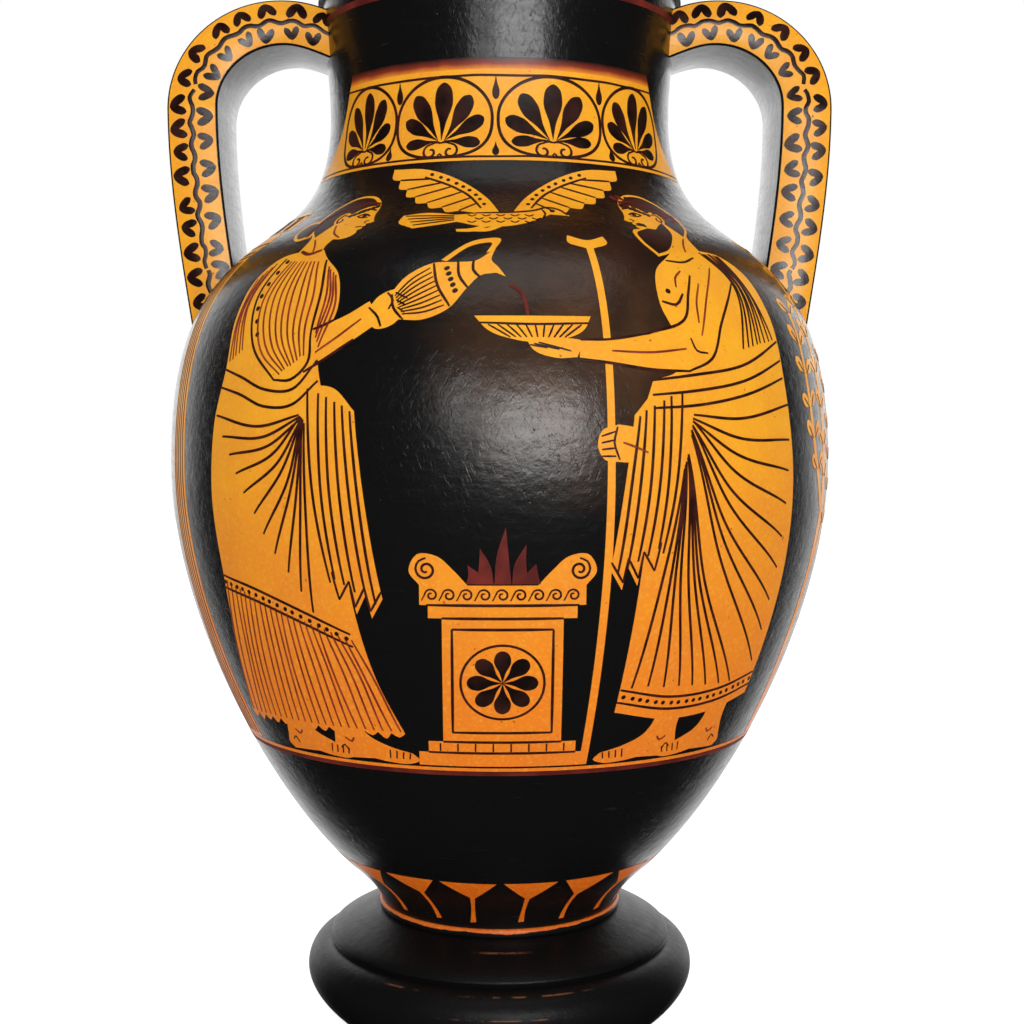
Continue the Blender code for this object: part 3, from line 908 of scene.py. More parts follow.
# Skins of the handles

def strap_outline():
    """Cross-section of a handle as (across, depth): flat flanges, a hollow outside and a crowned inside."""
    half_depth, half_thickness = HANDLE_DEPTH / 2, HANDLE_THICKNESS / 2
    flat = half_depth - HANDLE_EDGE
    turns = [math.pi / 2 * step / 6 for step in range(1, 6)]
    corners = [(half_thickness - HANDLE_EDGE * (1 - math.cos(turn)), flat + HANDLE_EDGE * math.sin(turn))
               for turn in turns]
    face = [(half_thickness * share, half_depth) for share in (0.6, 0.2, -0.2, -0.6)]
    front = corners + face + [(-across, depth) for across, depth in reversed(corners)]
    hollow = [(half_thickness - HANDLE_HOLLOW * math.sin(math.pi * step / 16) ** 1.4, flat * (step / 8 - 1))
              for step in range(17)]
    crown = [(-half_thickness - HANDLE_CROWN * math.sin(math.pi * step / 8), flat * (1 - step / 4))
             for step in range(9)]
    return hollow + front + crown + [(across, -depth) for across, depth in reversed(front)]


def strap_skin(name, strap):
    """The strap as a closed skin whose ends dip into the neck and the shoulder."""
    corners, faces = [], []
    outline = strap_outline()
    row, count = STRAP_STEPS + 1, len(outline)
    for index, (across, depth) in enumerate(outline):
        start, end = strap.reach(across, depth)
        ways = [start + (end - start) * step / STRAP_STEPS for step in range(row)]
        corners += [strap.at(way, across, depth) for way in ways]
        here, there = index * row, (index + 1) % count * row
        for step in range(STRAP_STEPS):
            faces.append((here + step, there + step, there + step + 1, here + step + 1))
    faces.append(tuple(index * row for index in reversed(range(count))))
    faces.append(tuple(index * row + STRAP_STEPS for index in range(count)))
    if strap.side < 0:
        faces = [face[::-1] for face in faces]
    return mesh_piece(name, corners, faces, [gloss], STRAP_CREASE)


turned_skins()
for node, strap in straps.items():
    hand_in(strap_skin(node + "_skin", strap), node)


# Camera, lights and stage

CAMERA_PLACE = (0.0, -0.5066, 0.19994)
CAMERA_PITCH = math.radians(87.0)
FOCAL_LENGTH = 53.67
SHIFT = 0.0122
LIGHT_TARGET = Vector((0.0, 0.0, 0.20))
FILL_LOW = 0.36
FILL_HIGH = 0.64
FILL_DIRECTIONS = (-0.5, 0.7)
WHITE = (1.0, 1.0, 1.0, 1.0)

# Only what lies well behind the vessel is bright in reflections, by its direction's part along Y
BEHIND_FROM = 0.50
BEHIND_FULL = 0.82
FRONT_GLOW = 0.008
BEHIND_GLOW = 1.70

# In the floor's reflection that bright wedge opens from a tip a little before the vessel's axis
WEDGE_SHIFT = (0.0, 0.045, 0.0)

STAGE_RADIUS = 3.0
STAGE_DROP = 0.0005
STAGE_PALE = (0.86, 0.86, 0.86, 1.0)
STAGE_DARK = (0.02, 0.02, 0.02, 1.0)
STAGE_GLOW = 0.72
STAGE_ROUGHNESS = 0.9


def camera():
    lens = bpy.data.cameras.new("camera")
    lens.lens = FOCAL_LENGTH
    lens.shift_x = SHIFT
    lens.clip_start = 0.01
    eye = bpy.data.objects.new("camera", lens)
    eye.location = CAMERA_PLACE
    eye.rotation_euler = (CAMERA_PITCH, 0.0, 0.0)
    bpy.context.scene.collection.objects.link(eye)
    bpy.context.scene.camera = eye


def panel_light(name, place, width, height, power):
    lamp = bpy.data.lights.new(name, "AREA")
    lamp.shape = "RECTANGLE"
    lamp.size = width
    lamp.size_y = height
    lamp.energy = power
    light = bpy.data.objects.new(name, lamp)
    light.location = place
    light.rotation_euler = (LIGHT_TARGET - Vector(place)).to_track_quat("-Z", "Y").to_euler()
    bpy.context.scene.collection.objects.link(light)


def world():
    """White for the camera; a bright back and a dark front for reflections; a fill that is stronger above."""
    studio = bpy.data.worlds.new("studio")
    studio.use_nodes = True
    nodes = Nodes(studio.node_tree)
    backing = studio.node_tree.nodes["Background"]
    backing.inputs["Color"].default_value = WHITE
    path = nodes.add("ShaderNodeLightPath").outputs
    way = nodes.add("ShaderNodeTexCoord").outputs["Generated"]
    reflected = nodes.span(nodes.axis(way, "Y"), BEHIND_FROM, BEHIND_FULL, FRONT_GLOW, BEHIND_GLOW)
    fill = nodes.span(nodes.axis(way, "Z"), *FILL_DIRECTIONS, FILL_LOW, FILL_HIGH)
    kept = nodes.math("SUBTRACT", 1.0, path["Is Glossy Ray"])
    level = nodes.math("ADD", nodes.times(fill, kept), nodes.times(reflected, path["Is Glossy Ray"]))
    seen = nodes.math("MAXIMUM", path["Is Camera Ray"], path["Is Transmission Ray"])
    hidden = nodes.math("SUBTRACT", 1.0, seen)
    nodes.feed(backing.inputs["Strength"], nodes.math("ADD", nodes.times(level, hidden), seen))
    bpy.context.scene.world = studio


def floor():
    """A plain pale floor that reads white where the light is full and keeps the vessel's shadow.

    Reflections see it bright only in a wedge behind the vessel."""
    finish = Finish("floor", 0.0)
    finish.sockets["Emission Color"].default_value = WHITE
    path = finish.add("ShaderNodeLightPath").outputs
    seen = finish.math("MAXIMUM", path["Is Camera Ray"], path["Is Glossy Ray"])
    finish.feed(finish.sockets["Emission Strength"], finish.times(seen, STAGE_GLOW))
    finish.made(STAGE_PALE, STAGE_ROUGHNESS)
    away = finish.vector("NORMALIZE", finish.vector("ADD", finish.place, WEDGE_SHIFT))
    front = finish.span(finish.axis(away, "Y"), BEHIND_FROM, BEHIND_FULL, 1.0, 0.0)
    dark = finish.add("ShaderNodeBsdfDiffuse")
    dark.inputs["Color"].default_value = STAGE_DARK
    either = finish.add("ShaderNodeMixShader")
    finish.feed(either.inputs[0], finish.times(front, path["Is Glossy Ray"]))
    finish.feed(either.inputs[1], finish.tree.nodes["Principled BSDF"].outputs["BSDF"])
    finish.feed(either.inputs[2], dark.outputs["BSDF"])
    finish.feed(finish.tree.nodes["Material Output"].inputs["Surface"], either.outputs["Shader"])
    turns = [math.tau * step / STAGE_STEPS for step in range(STAGE_STEPS)]
    corners = [around(STAGE_RADIUS, turn, -STAGE_DROP) for turn in turns]
    mesh = bpy.data.meshes.new("floor")
    mesh.from_pydata(corners, [], [tuple(range(STAGE_STEPS))])
    mesh.materials.append(finish.material)
    ground = bpy.data.objects.new("floor", mesh)
    bpy.context.scene.collection.objects.link(ground)


camera()
panel_light("window", (0.385, -1.75, 0.42), 0.97, 0.36, 11.1)
panel_light("side_window", (-0.36, -1.75, 0.58), 0.28, 0.36, 1.6)
panel_light("top_panel", (0.1, -0.6, 1.7), 1.4, 1.0, 4.0)
world()
floor()


# Painted bands and ornament, drawn in millimetres

def bands():
    """The ground line with its red underline, and the red line under the lip."""
    ground = Paint("ground_line", orange, "reserved_clay")
    ground.ring(*GROUND_LINE)
    ground.build()
    reds = Paint("red_lines", added_red, "black_gloss")
    reds.ring(*RED_UNDERLINE)
    reds.ring(*LIP_LINE)
    reds.build()


RAY_COUNT = 18
RAY_GAP = 2.2
RAY_HEAD = 9.2
RAY_STEM = 1.7
RAY_FOOT = 2.2


def rays():
    """Hand-cut rays above the foot: a flat-topped three-cornered head on a slim leaning stem."""
    paint = Paint("rays", orange, "reserved_clay")
    top = wall.rise(WALL_BASE, RAY_TOP)
    half = (math.tau * wall.radius(RAY_TOP) / MM / RAY_COUNT - RAY_GAP) / 2
    for index in range(RAY_COUNT):
        field = Field(math.tau * (index + 0.5) / RAY_COUNT, WALL_BASE)
        width = half + hand.uniform(-0.6, 0.3)
        neck = top - RAY_HEAD + hand.uniform(-1.0, 0.8)
        foot = RAY_FOOT + hand.uniform(0.0, 1.0)
        slim = RAY_STEM / 2 + hand.uniform(-0.15, 0.15)
        shift = hand.uniform(-0.9, 0.9)
        lean = shift + hand.uniform(-1.6, 1.6)
        bend, waist = (shift + lean) / 2, (neck + foot) / 2
        paint.patch(field, loop(
            [(-width, top), (width, top + hand.uniform(-0.2, 0.2))],
            [(shift + slim, neck)],
            [(bend + 0.8 * slim, waist), (lean + 1.2 * slim, foot)],
            [(lean - 1.2 * slim, foot - 0.2)],
            [(bend - 0.8 * slim, waist), (shift - slim, neck + 0.4)],
            [(-width, top)], step=1.2), grid=2.2)
    paint.build()


def teardrop(length, width, belly=0.70):
    """A petal from its root at the origin straight up, widest at the belly."""
    half = [(0.16, 0.30), (0.5, belly), (0.33, 0.93)]
    right = [(x * width, y * length) for x, y in half]
    left = [(-x, y) for x, y in reversed(right)]
    return loop([(0.0, 0.0)] + right + [(0.0, length)] + left + [(0.0, 0.0)], step=0.7)


def spiral(x, y, start_radius, end_radius, start_turn, turns, count=14):
    points = []
    for index in range(count + 1):
        share = index / count
        radius = start_radius + share * (end_radius - start_radius)
        turn = start_turn + share * turns
        points.append((x + radius * math.cos(turn), y + radius * math.sin(turn)))
    return points


def egg(x, y, half_width, half_height, count=60):
    """An oval whose lower half is squarer than its upper half."""
    points = []
    for step in range(count):
        across, up = math.cos(math.tau * step / count), math.sin(math.tau * step / count)
        power = 1.0 if up > 0.0 else 0.78
        points.append(Vector((x + half_width * math.copysign(abs(across) ** power, across),
                              y + half_height * math.copysign(abs(up) ** power, up))))
    return points


# Each petal's angle from upright, its length and its width, all but the first on both sides
PETALS = [(0.0, 18.8, 5.8), (32.0, 18.0, 5.4), (62.0, 15.4, 4.4), (93.0, 12.4, 3.5)]
PETAL_ROOT = 1.6
HEART_DROP = 8.4


def palmette(petals, lines, field, x, y, squeeze):
    """Seven petals that fan from a heart over a pair of volutes."""
    heart = y - HEART_DROP
    for angle, length, width in PETALS:
        for side in (-1, 1) if angle else (1,):
            turn = -side * math.radians(angle + hand.uniform(-2.5, 2.5))
            size = 1.0 + hand.uniform(-0.05, 0.04)
            root = x + squeeze * side * (0.9 if angle else 0.0)
            leaf = moved(teardrop(length - PETAL_ROOT, width), turn=turn, size=size)
            squeezed = [(root + squeeze * p.x, heart + PETAL_ROOT + p.y) for p in leaf]
            petals.patch(field, squeezed, OVER_FILM, grid=1.6)
    for side in (-1, 1):
        centre = x + side * 3.1 * squeeze
        volute = spiral(centre, heart - 1.9, 2.5, 0.7, math.pi / 2, -side * 4.2 * math.pi / 2)
        link = [(x, heart + 0.9), (x + side * 1.5 * squeeze, heart + 1.2), (centre, heart + 0.6)]
        lines.stroke(field, volute, width=0.75, step=0.8)
        lines.stroke(field, link, width=0.7, step=0.8)
    tip = [(x - 0.9, heart - 3.9), (x, heart - 2.6), (x + 0.9, heart - 3.9)]
    lines.stroke(field, tip, width=0.6, step=0.8)


PANEL_RADIUS = 0.058
PANEL_TOP_HALF = math.radians(56.0) * PANEL_RADIUS / MM
PANEL_BOTTOM_HALF = math.radians(73.0) * PANEL_RADIUS / MM
PANEL_SIDE_DIP = 1.6
# Each oval's place along the frieze and half its width, then the places of the drops and the buds
PANEL_OVALS = [(-46.2, 12.4), (-17.7, 15.5), (16.2, 16.6), (47.0, 13.2)]
PANEL_DROPS = (-32.6, -0.9, 32.6)
PANEL_BUDS = (-35.0, -0.9, 35.4)
OVAL_WIDTH = 15.6
LOW_RULE = 1.3
HIGH_RULE_DROP = 1.8


def neck_panel(angle, name):
    """The frieze on one side of the neck: palmettes in ovals, drops and buds, within two ruled lines."""
    field = Field(angle, PANEL_BOTTOM, PANEL_RADIUS)
    height = wall.rise(PANEL_BOTTOM, PANEL_TOP)
    ground = Paint(name + "_clay", orange, "reserved_clay")
    petals = Paint(name + "_petals", petal_black, "black_gloss")
    lines = Paint(name + "_lines", line_black, "black_gloss")
    top, bottom = PANEL_TOP_HALF, PANEL_BOTTOM_HALF
    side = (top + bottom) / 2 - PANEL_SIDE_DIP
    waist = 0.45 * height
    ground.patch(field, loop([(-bottom, 0.0), (0.0, 0.0), (bottom, 0.0)], [(side, waist), (top, height)],
                             [(0.0, height), (-top, height)], [(-side, waist), (-bottom, 0.0)], step=2.0))
    low, high = LOW_RULE, height - HIGH_RULE_DROP
    for level in (low, high):
        reach = bottom + level / height * (top - bottom) - 0.5
        ruled = [(reach * step / 8, level + hand.uniform(-0.12, 0.12)) for step in range(-8, 9)]
        lines.stroke(field, ruled, width=0.7, step=2.0)
    middle = (low + high) / 2
    for x, half_width in PANEL_OVALS:
        ring = egg(x, middle, half_width, (high - low) / 2 - 0.1)
        lines.stroke(field, ring + [ring[0]], width=0.95, taper=0.0)
        palmette(petals, lines, field, x, middle, half_width / OVAL_WIDTH)
    rows = [(PANEL_DROPS, high + 0.2, 7.2, 2.3), (PANEL_BUDS, low + 4.9, 4.6, 2.1)]
    for places, level, length, width in rows:
        for x in places:
            drop = moved(teardrop(length, width), x + hand.uniform(-0.3, 0.3), level, math.pi)
            petals.patch(field, drop, OVER_FILM, grid=1.2)
    ground.build()
    petals.build()
    lines.build()


def blush():
    """The soft red edge over each neck panel."""
    paint = Paint("panel_blush", faded_edge("panel_blush"), "black_gloss")
    height = wall.rise(PANEL_TOP, BLUSH_TOP)
    half, low = PANEL_TOP_HALF, -0.1
    upper_half = half - 1.6
    for angle in (0.0, math.pi):
        outline = loop([(-half, low), (0.0, low), (half, low)], [(upper_half, height)],
                       [(0.0, height), (-upper_half, height)], [(-half, low)], step=1.6)
        paint.patch(Field(angle, PANEL_TOP, PANEL_RADIUS), outline, BLUSH_FILM, grid=1.6)
    paint.build()


LEAF_WIDTH = 5.8
LEAF_LENGTH = 5.0
LEAF_OFFSET = 1.75
# Each row's side of the stem, its count of leaves, and how far its first and last are inside the flange
LEAF_ROWS = [(1.0, 16, 4.6, -1.0), (-1.0, 14, 5.6, 7.5)]
STEM_WIDTH = 1.55
STEM_WAVE = 0.55
STEM_WAVE_LENGTH = 7.4


def heart_leaf():
    """An ivy leaf with its point up and its two lobes below."""
    half = [(0.34, 0.10), (0.78, -0.02), (1.02, 0.22), (0.86, 0.56), (0.40, 0.90)]
    right = [(x * LEAF_WIDTH / 2, y * LEAF_LENGTH) for x, y in half]
    left = [(-x, y) for x, y in reversed(right)]
    notch = (0.0, 0.44 * LEAF_LENGTH)
    return loop([notch] + right + [(0.0, LEAF_LENGTH)] + left + [notch], step=0.6)


def flange_ground(paint, field):
    """Clay over a flange, up to where it dips into the vessel. Gives the ends of the flange's middle line."""
    half = HANDLE_THICKNESS / 2 - FLANGE_MARGIN
    rows = [half * (step / 4 - 1) for step in range(9)]
    ends = [field.strap.reach(row, field.face * HANDLE_DEPTH / 2) for row in rows]
    neck = [(start / MM, row / MM) for row, (start, _) in zip(rows, ends)]
    shoulder = [(end / MM, row / MM) for row, (_, end) in zip(rows, ends)]
    outline = loop([neck[0], shoulder[0]], shoulder[1:], [neck[-1]], neck[-2::-1], step=1.6)
    paint.patch(field, outline, grid=0.9)
    return neck[4][0], shoulder[4][0]


def flange_leaves(paint, field, start, end):
    for side, count, start_gap, end_gap in LEAF_ROWS:
        first, last = start + start_gap, end - end_gap
        for index in range(count):
            x = first + (last - first) * index / (count - 1) + hand.uniform(-0.5, 0.5)
            tilt = hand.uniform(-0.28, 0.28)
            turn = tilt if side > 0 else math.pi + tilt
            size = hand.uniform(0.90, 1.06)
            leaf = moved(heart_leaf(), x, side * (LEAF_OFFSET + hand.uniform(-0.2, 0.2)), turn, size)
            paint.patch(field, leaf, OVER_FILM, grid=1.3)


def flange_stem(paint, field, start, end):
    """A wavy stem in three strokes of the brush."""
    length = end - start
    strokes = [(start, start + 0.44 * length), (start + 0.455 * length, end - 9.0), (end - 8.4, end - 0.4)]
    for low, high in strokes:
        count = int((high - low) / 1.3)
        wave = []
        for index in range(count + 1):
            x = low + (high - low) * index / count
            y = STEM_WAVE * math.sin(x * math.tau / STEM_WAVE_LENGTH) + hand.uniform(-0.16, 0.16)
            wave.append((x, y))
        paint.stroke(field, wave, STEM_WIDTH, step=0.9, taper=0.2)


def ivy():
    """Orange flange faces with a wavy stem between two rows of ivy leaves, on both faces of both handles."""
    ground = Paint("handle_clay", flange_clay, "reserved_clay")
    leaves = Paint("ivy_leaves", leaf_black, "black_gloss")
    stems = Paint("ivy_stems", leaf_black, "black_gloss")
    for strap in straps.values():
        for face in (1.0, -1.0):
            field = Flange(strap, face)
            start, end = flange_ground(ground, field)
            flange_leaves(leaves, field, start, end)
            flange_stem(stems, field, start, end)
    ground.build()
    leaves.build()
    stems.build()


bands()
rays()
neck_panel(0.0, "front_panel")
neck_panel(math.pi, "back_panel")
blush()
ivy()


# Figure scene, drawn in millimetres: a libation at an altar on the front, two cloaked figures on the back

figure_clay = Paint("figure_clay", orange, "reserved_clay")
figure_black = Paint("figure_black", petal_black, "black_gloss")
relief_lines = Paint("relief_lines", line_black, "black_gloss")
dilute_lines = Paint("dilute_lines", dilute, "black_gloss")
red_details = Paint("red_details", added_red, "black_gloss")

FIGURE_GROUND = GROUND_HEIGHT + 0.0012
FIGURE_SIZE = 1.04
ALTAR_SIZE = 0.94
RELIEF = 0.82
WASH = 0.62
HEM_DEPTH = 1.7


def between(first, last, share):
    return [Vector(a).lerp(Vector(b), share) for a, b in zip(first, last)]


class Figure:
    """One painted figure about its own upright axis, facing right unless it is mirrored."""

    def __init__(self, degrees, mirror=1, size=1.0):
        self.field = Field(math.radians(degrees), FIGURE_GROUND, mirror=mirror)
        self.size = size
        self.move = {}

    def part(self, **move):
        """The same figure, to draw a part of it about a place of its own."""
        part = copy.copy(self)
        part.move = move
        return part

    def sized(self, points):
        return [point * self.size for point in points]

    def placed(self, points):
        return self.sized(moved(points, **self.move))

    def outline(self, runs, step=1.0):
        return self.sized(loop(*[moved(run, **self.move) for run in runs], step=step))

    def clay(self, *runs):
        figure_clay.patch(self.field, self.outline(runs))

    def black(self, *runs):
        figure_black.patch(self.field, self.outline(runs, step=0.7), OVER_FILM, grid=1.6)

    def red(self, *runs):
        red_details.patch(self.field, self.outline(runs, step=0.6), OVER_FILM, grid=1.2)

    def dot(self, x, y, radius):
        [centre] = moved([(x, y)], **self.move)
        spots = oval(centre.x, centre.y, radius, radius, 14)
        figure_black.patch(self.field, self.sized(spots), DOT_FILM, grid=2.0)

    def line(self, *points, width=RELIEF, step=1.5, taper=0.3):
        relief_lines.stroke(self.field, self.placed(points), width, step, taper)

    def wash(self, *points):
        dilute_lines.stroke(self.field, self.placed(points), WASH)

    def band(self, *points, width, taper=0.2):
        red_details.stroke(self.field, self.placed(points), width, step=1.2, taper=taper)

    def folds(self, first, last, count, wash=False, sway=0.5):
        """Fold lines spread between two guide lines, a little uneven as a brush leaves them."""
        draw = self.wash if wash else self.line
        for index in range(count):
            draw(*[point + Vector((hand.uniform(-sway, sway), hand.uniform(-sway, sway)))
                   for point in between(first, last, index / (count - 1))])

    def border(self, points, gap, count):
        """A woven edge: two lines with a row of dots between them."""
        above = [(x, y + gap) for x, y in points]
        self.line(*points)
        self.line(*above)
        for spot in spots_along(smooth(between(points, above, 0.5), 0.5), count):
            self.dot(spot.x, spot.y, 0.62)


def scallops(start, end, height, count):
    """Runs of a pleated hem from one end to the other, all on one level."""
    runs = []
    for index in range(count):
        left = start + (end - start) * index / count
        right = start + (end - start) * (index + 1) / count
        runs.append([((left + right) / 2, height - HEM_DEPTH * hand.uniform(0.7, 1.2)), (right, height)])
    return runs


SKULL = [(-5.4, -3.5), (-5.7, 3.4), (-9.7, 8.3), (-10.7, 14.5), (-8, 20.6), (-2.5, 24.3), (3.6, 23.9),
         (7.3, 20.8), (8.5, 18.2), (9.1, 15.6)]
NOSE = [[(10.1, 13.3), (11.6, 11.2)], [(10.8, 10.3), (9.4, 10.1)]]
LIPS = [[(10.2, 9.2), (9.4, 8.5)], [(10, 7.6), (9, 6.7)]]
SMOOTH_CHIN = [[(9.6, 5.2), (8.8, 3.6), (6.2, 2.4), (3.6, 2.5)], [(3.1, 0), (4, -4.5)]]
BEARDED_CHIN = [[(12.6, 5.6), (13.6, 0.5), (11.6, -6)], [(6.6, -4.2), (3.4, -1)], [(4, -5.5)]]
CROWN = [(-9.7, 11.6), (-6.6, 16.6), (-1, 19.6), (5, 21), (7.4, 20.4)]


def head(figure, y, turn, bearded=False, bun=False, wreath=False):
    """A calm generic profile with textbook proportions, dark hair in a reserved outline, and a band."""
    face = figure.part(y=y, turn=turn)
    face.clay(SKULL, *NOSE, *LIPS, *(BEARDED_CHIN if bearded else SMOOTH_CHIN))
    if bun:
        face.clay([(-7, 4.2), (-12.5, 2.6), (-16.2, 6.6), (-14.8, 11.8), (-9.6, 12.8), (-7, 4.2)])
        face.black([(-8.2, 5.2), (-12.4, 3.8), (-15.1, 7), (-13.9, 10.9), (-9.8, 11.6), (-8.2, 5.2)])
        face.band((-8.6, 4.4), (-9.6, 8), (-8.6, 12), width=1.0)
    face.black([(6.9, 19.6), (4.4, 19.3), (1.8, 17.6), (0.3, 15.6)],
               [(-1.6, 16.6), (-3.6, 15.4), (-3.9, 12.4), (-2.4, 10.2)], [(-3.6, 6.6), (-4.6, 3.8)],
               [(-8.9, 8.6), (-9.8, 14.4), (-7.4, 20), (-2.4, 23.4), (3.3, 23), (6.9, 19.6)])
    for index in range(7):
        curl = Vector((7.3, 19.1)).lerp(Vector((0.6, 14.6)), index / 6)
        face.dot(curl.x, curl.y, 0.78)
    if bearded:
        face.black([(-1.3, 10.6), (1.6, 8.6), (4.2, 6.6), (6.6, 6.9), (9, 6)],
                   [(11.8, 4.6), (12.6, 0.4), (10.9, -4.9)],
                   [(6.6, -3.2), (2.6, 0.6), (-0.6, 5), (-1.3, 10.6)])
        face.black([(6.2, 9.2), (8, 9.7), (9.3, 9.1)], [(8.2, 8.5), (6.4, 7.6), (6.2, 9.2)])
    else:
        face.wash((-0.8, 9.6), (1.8, 5.4), (5.4, 3.1))

    # eye, brow, nostril, mouth, ear and neck
    face.line((3.5, 14.2), (5.6, 15.3), (8, 14.1), width=0.7)
    face.line((3.5, 14.2), (5.7, 13.3), (7.7, 13.6), width=0.55)
    face.dot(6.1, 14.25, 0.72)
    face.line((2.5, 16.9), (5.3, 18), (8.3, 17), width=0.75)
    face.line((9.6, 11.6), (8.7, 11.1), (9.1, 10.3), width=0.5)
    face.line((9.4, 8.5), (7.5, 8.2), width=0.6)
    face.line((-0.7, 14.8), (-2.2, 15.2), (-2.9, 13.1), (-1.7, 11), (-0.7, 12.2), (-1.5, 13.3), width=0.6)
    face.wash((-3.4, 2.6), (-1, -0.4), (0.6, -3.6))
    face.band(*CROWN, width=1.1)
    if wreath:
        for index, spot in enumerate(spots_along(smooth(CROWN, 0.5), 9)):
            for side in (-1, 1):
                face.red(moved(teardrop(3.6, 1.5, 0.5), spot.x, spot.y, side * 0.9 - 0.9 - 0.1 * index))


def foot(figure, x):
    """A foot in profile on the ground line, with ankle and toes."""
    part = figure.part(x=x)
    part.clay([(-6.6, 17), (-6.2, 10), (-7.6, 5), (-8.6, 1.8), (-6.8, 0.2)], [(4, 0.9)],
              [(9, 0.1), (15.2, 0.2), (17.6, 1.4), (16.2, 3.5)],
              [(9.6, 5.6), (4.4, 8.8), (2.6, 12.6), (2.8, 17)])
    for toe in range(4):
        part.line((15.6 - 1.9 * toe, 3.6 + 0.25 * toe), (14.8 - 1.9 * toe, 1.6), width=0.55)
    part.wash((-3.4, 7.2), (-1.6, 6), (-0.4, 7.4))
    part.line((-6, 3.4), (-4.4, 4.6), (-3.6, 2.6), width=0.5)


def woman(degrees, mirror):
    """A standing woman in a pleated chiton and a mantle, pouring from a jug."""
    figure = Figure(degrees, mirror, FIGURE_SIZE)
    foot(figure, -6)
    foot(figure, 13)
    figure.clay([(-5, 147.5), (-11, 146), (-17.5, 139), (-20.5, 126), (-20, 112), (-24, 96), (-25.5, 78),
                 (-24.5, 52), (-27.5, 26), (-31, 10)], *scallops(-31, 29, 10, 15),
                [(25.5, 26), (23.5, 48), (23, 70), (21, 90), (17.5, 104), (15, 114), (18, 127), (14.5, 137),
                 (6.5, 144.5), (3.8, 147.5)], [(-5, 147.5)])
    head(figure, 150, -0.06, bun=True)
    figure.band((-4.6, 147.6), (-0.8, 146), (3.2, 147.4), width=1.2)

    # fine pleats of the chiton, below the mantle, behind the sleeve and before it
    for index in range(23):
        share = index / 22
        top, low = -23 + 44 * share, -30 + 58 * share
        figure.wash((top, 52 - 14 * share), ((top + low) / 2 + hand.uniform(-0.6, 0.6), 29), (low, 10.6))
    figure.folds([(-17, 138.5), (-19.3, 125), (-18.8, 113)], [(-11.8, 143.5), (-16, 130), (-13.6, 116)],
                 5, wash=True, sway=0.2)
    figure.folds([(9.8, 140.5), (13, 131), (13, 120)], [(13.6, 137), (17, 128), (14.6, 116)],
                 4, wash=True, sway=0.2)

    # mantle: rolled upper edge, folds from the far arm, woven lower edge
    figure.line((-20.5, 111), (-12, 108.5), (-2, 105), (8, 105), (15.2, 112.5))
    figure.line((-21.6, 106), (-12, 103.8), (-2, 100.5), (8, 100.8), (16, 107))
    figure.folds([(11, 98), (-2, 95), (-23, 98)], [(12.4, 96), (13, 72), (11, 45.5)], 11, sway=0.4)
    figure.border([(-25, 50), (-10, 47), (6, 42), (21, 36)], 3.6, 17)
    zigzag(figure, 13, 105, 50)

    # near arm with its buttoned sleeve
    figure.clay([(4, 119), (14, 121.6), (22, 125), (27, 128.4)], [(32, 123)],
                [(25, 117.8), (17, 112.6), (8, 107.5)], [(4, 119)])
    figure.line((11, 109.4), (17, 112.6), (25, 117.8))
    figure.line((12, 121), (15, 122), (18, 123.4))
    figure.wash((14, 114.6), (20, 118.6), (26, 123.4))
    figure.line((-9, 145), (-13, 131), (-9, 117), (1, 107.5))
    figure.line((1, 107.5), (7, 107.5), (12, 112), (11.5, 119.5))
    figure.line((7.5, 143), (11, 132), (11.5, 119.5))
    figure.folds([(-6, 143.5), (-10, 130), (-5, 115), (2.8, 109)],
                 [(5, 142.5), (8.6, 131), (9.2, 121), (10.4, 114)], 9, wash=True, sway=0.25)
    for spot in smooth([(-7.6, 143.6), (-11.4, 131), (-7.6, 118.4)], 0.5)[:49:8]:
        figure.dot(spot.x, spot.y, 0.72)

    # hand and jug
    jug(figure, 43, 132, -1, 0.92)
    figure.part(x=1, y=-16.6).clay([(26, 142), (28.4, 146.6), (32.6, 148.4), (36, 146.6), (36.6, 142),
                                    (34, 138.2), (29.6, 137.2), (26, 142)])
    for index in range(4):
        figure.line((33.6 + 0.9 * index, 130.8 - 2.2 * index), (37.4 + 0.1 * index, 129 - 2 * index),
                    width=0.55)
    figure.line((27.4, 126.6), (30.6, 123.8), (32, 121.2), width=0.65)
    figure.line((31.4, 130.8), (33.6, 128.4), (33, 126), width=0.6)


def zigzag(figure, x, top, low):
    """The loose end of a mantle, hanging from the far arm in stacked folds."""
    end = figure.part(x=x)
    middle = (top + low) / 2
    teeth = [(19.5, low), (15.5, low - 5.5), (14.9, low + 1), (11.3, low - 4.5), (10.7, low + 2.6),
             (6.9, low - 2.6), (5.9, low + 5)]
    end.clay([(0, top + 1), (8, top), (14.5, top - 6)], [(17.5, middle - 2), teeth[0]],
             *[[tooth] for tooth in teeth[1:]], [(2.5, middle), (0, top + 1)])
    end.folds([(3.6, top - 1), (5, middle), (6.4, low + 5)],
              [(13.2, top - 6), (15.8, middle), (17.6, low - 1.4)], 5, sway=0.3)
    end.line((0, top), (2.3, middle), (5, low + 4))
    for first, second in zip(teeth, teeth[1:]):
        end.line((first[0], first[1] + 2), (second[0], second[1] + 2), width=0.65)


